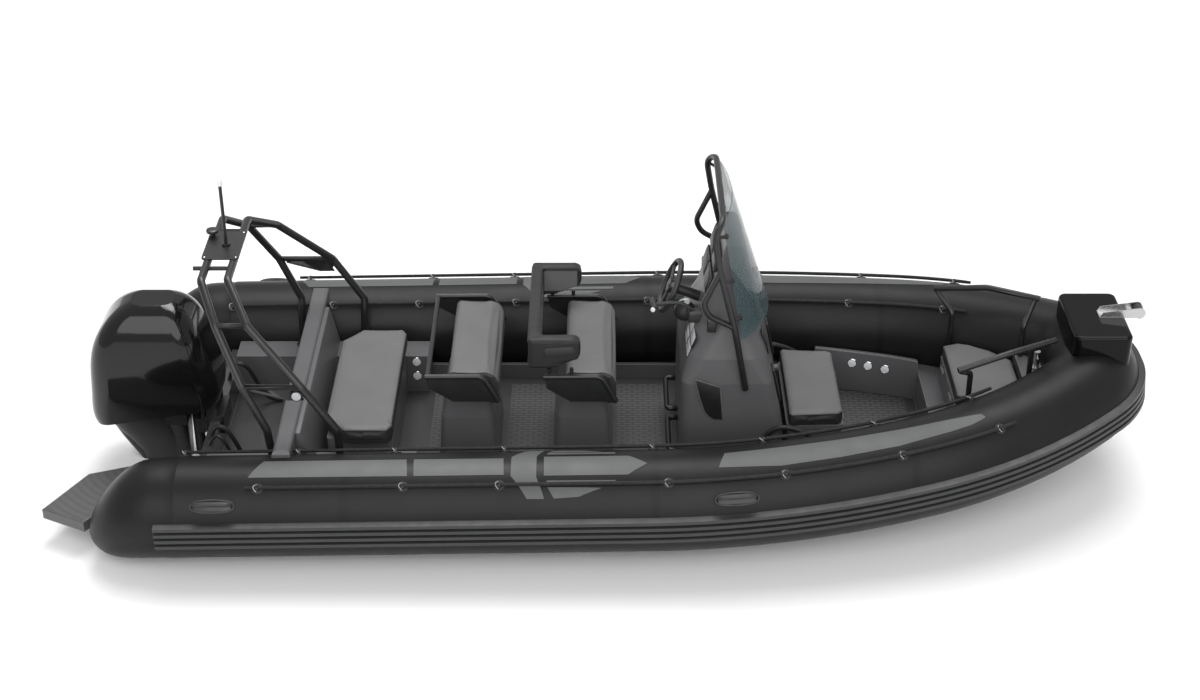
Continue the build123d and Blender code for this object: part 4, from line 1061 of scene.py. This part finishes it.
# ---------------------------------------------------------------- windscreen frame
# Starboard half of the hoop, foot to the middle of its top; the port half mirrors it.
HOOP = [
    (0.822, -0.448, 0.727), (0.748, -0.500, 1.135), (0.652, -0.500, 1.524), (0.618, -0.485, 1.715),
    (0.668, -0.410, 1.776),
]
GRAB = [(0.655, -0.500, 1.510), (0.566, -0.506, 1.310), (0.600, -0.504, 1.235), (0.740, -0.500, 1.160)]
CLAMPS = [
    ((0.732, -0.500, 1.200), (0.775, -0.455, 1.200)),
    ((0.675, -0.500, 1.430), (0.725, -0.440, 1.430)),
    ((0.640, -0.462, 1.700), (0.685, -0.424, 1.690)),
]


def port(points):
    return [(x, -y, z) for x, y, z in points]


hoop_pieces = [hose(bent(HOOP + port(HOOP)[::-1], 0.060), 0.0185, kind="POLY")]
for mirrored in (False, True):
    hoop_pieces.append(hose(bent(port(GRAB) if mirrored else GRAB, 0.035), 0.0165, kind="POLY"))
    for clamp in CLAMPS:
        hoop_pieces.append(hose(port(clamp) if mirrored else list(clamp), 0.009, kind="POLY"))
        end = Vector(clamp[1])
        end.y = -end.y if mirrored else end.y
        hoop_pieces.append(disc(end, (0.75, 0.6 if mirrored else -0.6, 0.2), 0.016, 0.014, 0.003))
screen_frame = settle(join(hoop_pieces), "screen_frame", "boat", "frame_black")
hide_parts("windscreen_frame")

# ---------------------------------------------------------------- roll bar fittings
shelf_bars = [hose([(-2.270, y, 1.384), (-2.050, y, 1.384)], 0.0125, kind="POLY") for y in (-0.226, 0.226)]
settle(join(shelf_bars), "shelf_bars", "boat", "frame_black")
dome = [
    disc((-2.212, 0.105, 1.424), (0, 0, 1), 0.015, 0.032),
    disc((-2.212, 0.105, 1.448), (0, 0, 1), 0.036, 0.022, 0.009),
]
settle(join(dome), "aerial_dome", "boat", "dark_trim")
studs = [disc((x, y, 1.4145), (0, 0, 1), 0.006, 0.006, 0.002, 12) for x in (-2.218, -2.042) for y in (-0.150, 0.150)]
settle(join(studs), "shelf_studs", "boat", "chrome")
knee_lamps = [disc((-1.665, -0.7535, 0.876), (0, -1, 0), 0.033, 0.016, 0.004)]
knee_lenses = [disc((-1.665, -0.7600, 0.876), (0, -1, 0), 0.026, 0.010, 0.003)]
settle(both_sides(join(knee_lamps)), "knee_lamp_rims", "boat", "frame_black")
settle(both_sides(join(knee_lenses)), "knee_lamp_lenses", "boat", "grille_grey")

# ---------------------------------------------------------------- engine
# Fairing between the cowl and the leg: height, aft and fore ends, half width.
FAIRING = [
    (0.318, -2.925, -2.52, 0.165), (0.285, -2.905, -2.51, 0.160), (0.170, -2.820, -2.50, 0.130),
    (0.060, -2.755, -2.50, 0.100), (-0.020, -2.742, -2.50, 0.080),
]
RIM_Z = 0.298              # height of the cowl's rim at its aft end
RIM_AFT_X = -2.967
RIM_SLOPE = 0.1888


def lofted(levels, sides=40, square=3.2):
    """A skin through rounded rectangles at several heights."""
    loops = []
    for z, aft, fore, half in levels:
        let_go()
        bpy.ops.mesh.primitive_circle_add(vertices=sides, radius=1, location=(0, 0, 0))
        loop = bpy.context.object
        for vertex in loop.data.vertices:
            x, y = vertex.co.x, vertex.co.y
            reach = (abs(x) ** square + abs(y) ** square) ** (1 / square)
            vertex.co = ((aft + fore) / 2 + (fore - aft) / 2 * x / reach, half * y / reach, z)
        loops.append(loop)
    skin = join(loops)
    edit(skin)
    bpy.ops.mesh.bridge_edge_loops()
    bpy.ops.mesh.select_all(action="DESELECT")
    bpy.ops.mesh.select_non_manifold(extend=False)
    bpy.ops.mesh.fill_holes(sides=0)
    bpy.ops.mesh.select_all(action="SELECT")
    close_facing_out()
    return skin


fairing = lofted(FAIRING)
for vertex in fairing.data.vertices:      # the top follows the cowl's sloping rim
    if vertex.co.z > 0.30:
        vertex.co.z = RIM_Z + (vertex.co.x - RIM_AFT_X) * RIM_SLOPE
settle(fairing, "leg_fairing", "engine_head", "engine_black", smooth=50)

# Each hose: its run and its radius.
HOSES = [
    (
        [
            (-2.262, -0.330, 0.302), (-2.240, -0.335, 0.400), (-2.170, -0.345, 0.410),
            (-2.110, -0.350, 0.300), (-2.060, -0.360, 0.150), (-1.980, -0.380, 0.124),
        ],
        0.013,
    ),
    (
        [
            (-2.262, -0.372, 0.302), (-2.235, -0.375, 0.370), (-2.180, -0.385, 0.360),
            (-2.130, -0.400, 0.240), (-2.090, -0.410, 0.135), (-2.010, -0.430, 0.122),
        ],
        0.010,
    ),
    (
        [
            (-2.262, 0.350, 0.302), (-2.230, 0.350, 0.420), (-2.150, 0.360, 0.400),
            (-2.090, 0.370, 0.240), (-2.030, 0.385, 0.124), (-1.960, 0.400, 0.124),
        ],
        0.013,
    ),
]
rigging = join([hose(points, radius) for points, radius in HOSES])
settle(rigging, "fuel_and_wiring_hoses", "boat", "engine_black")
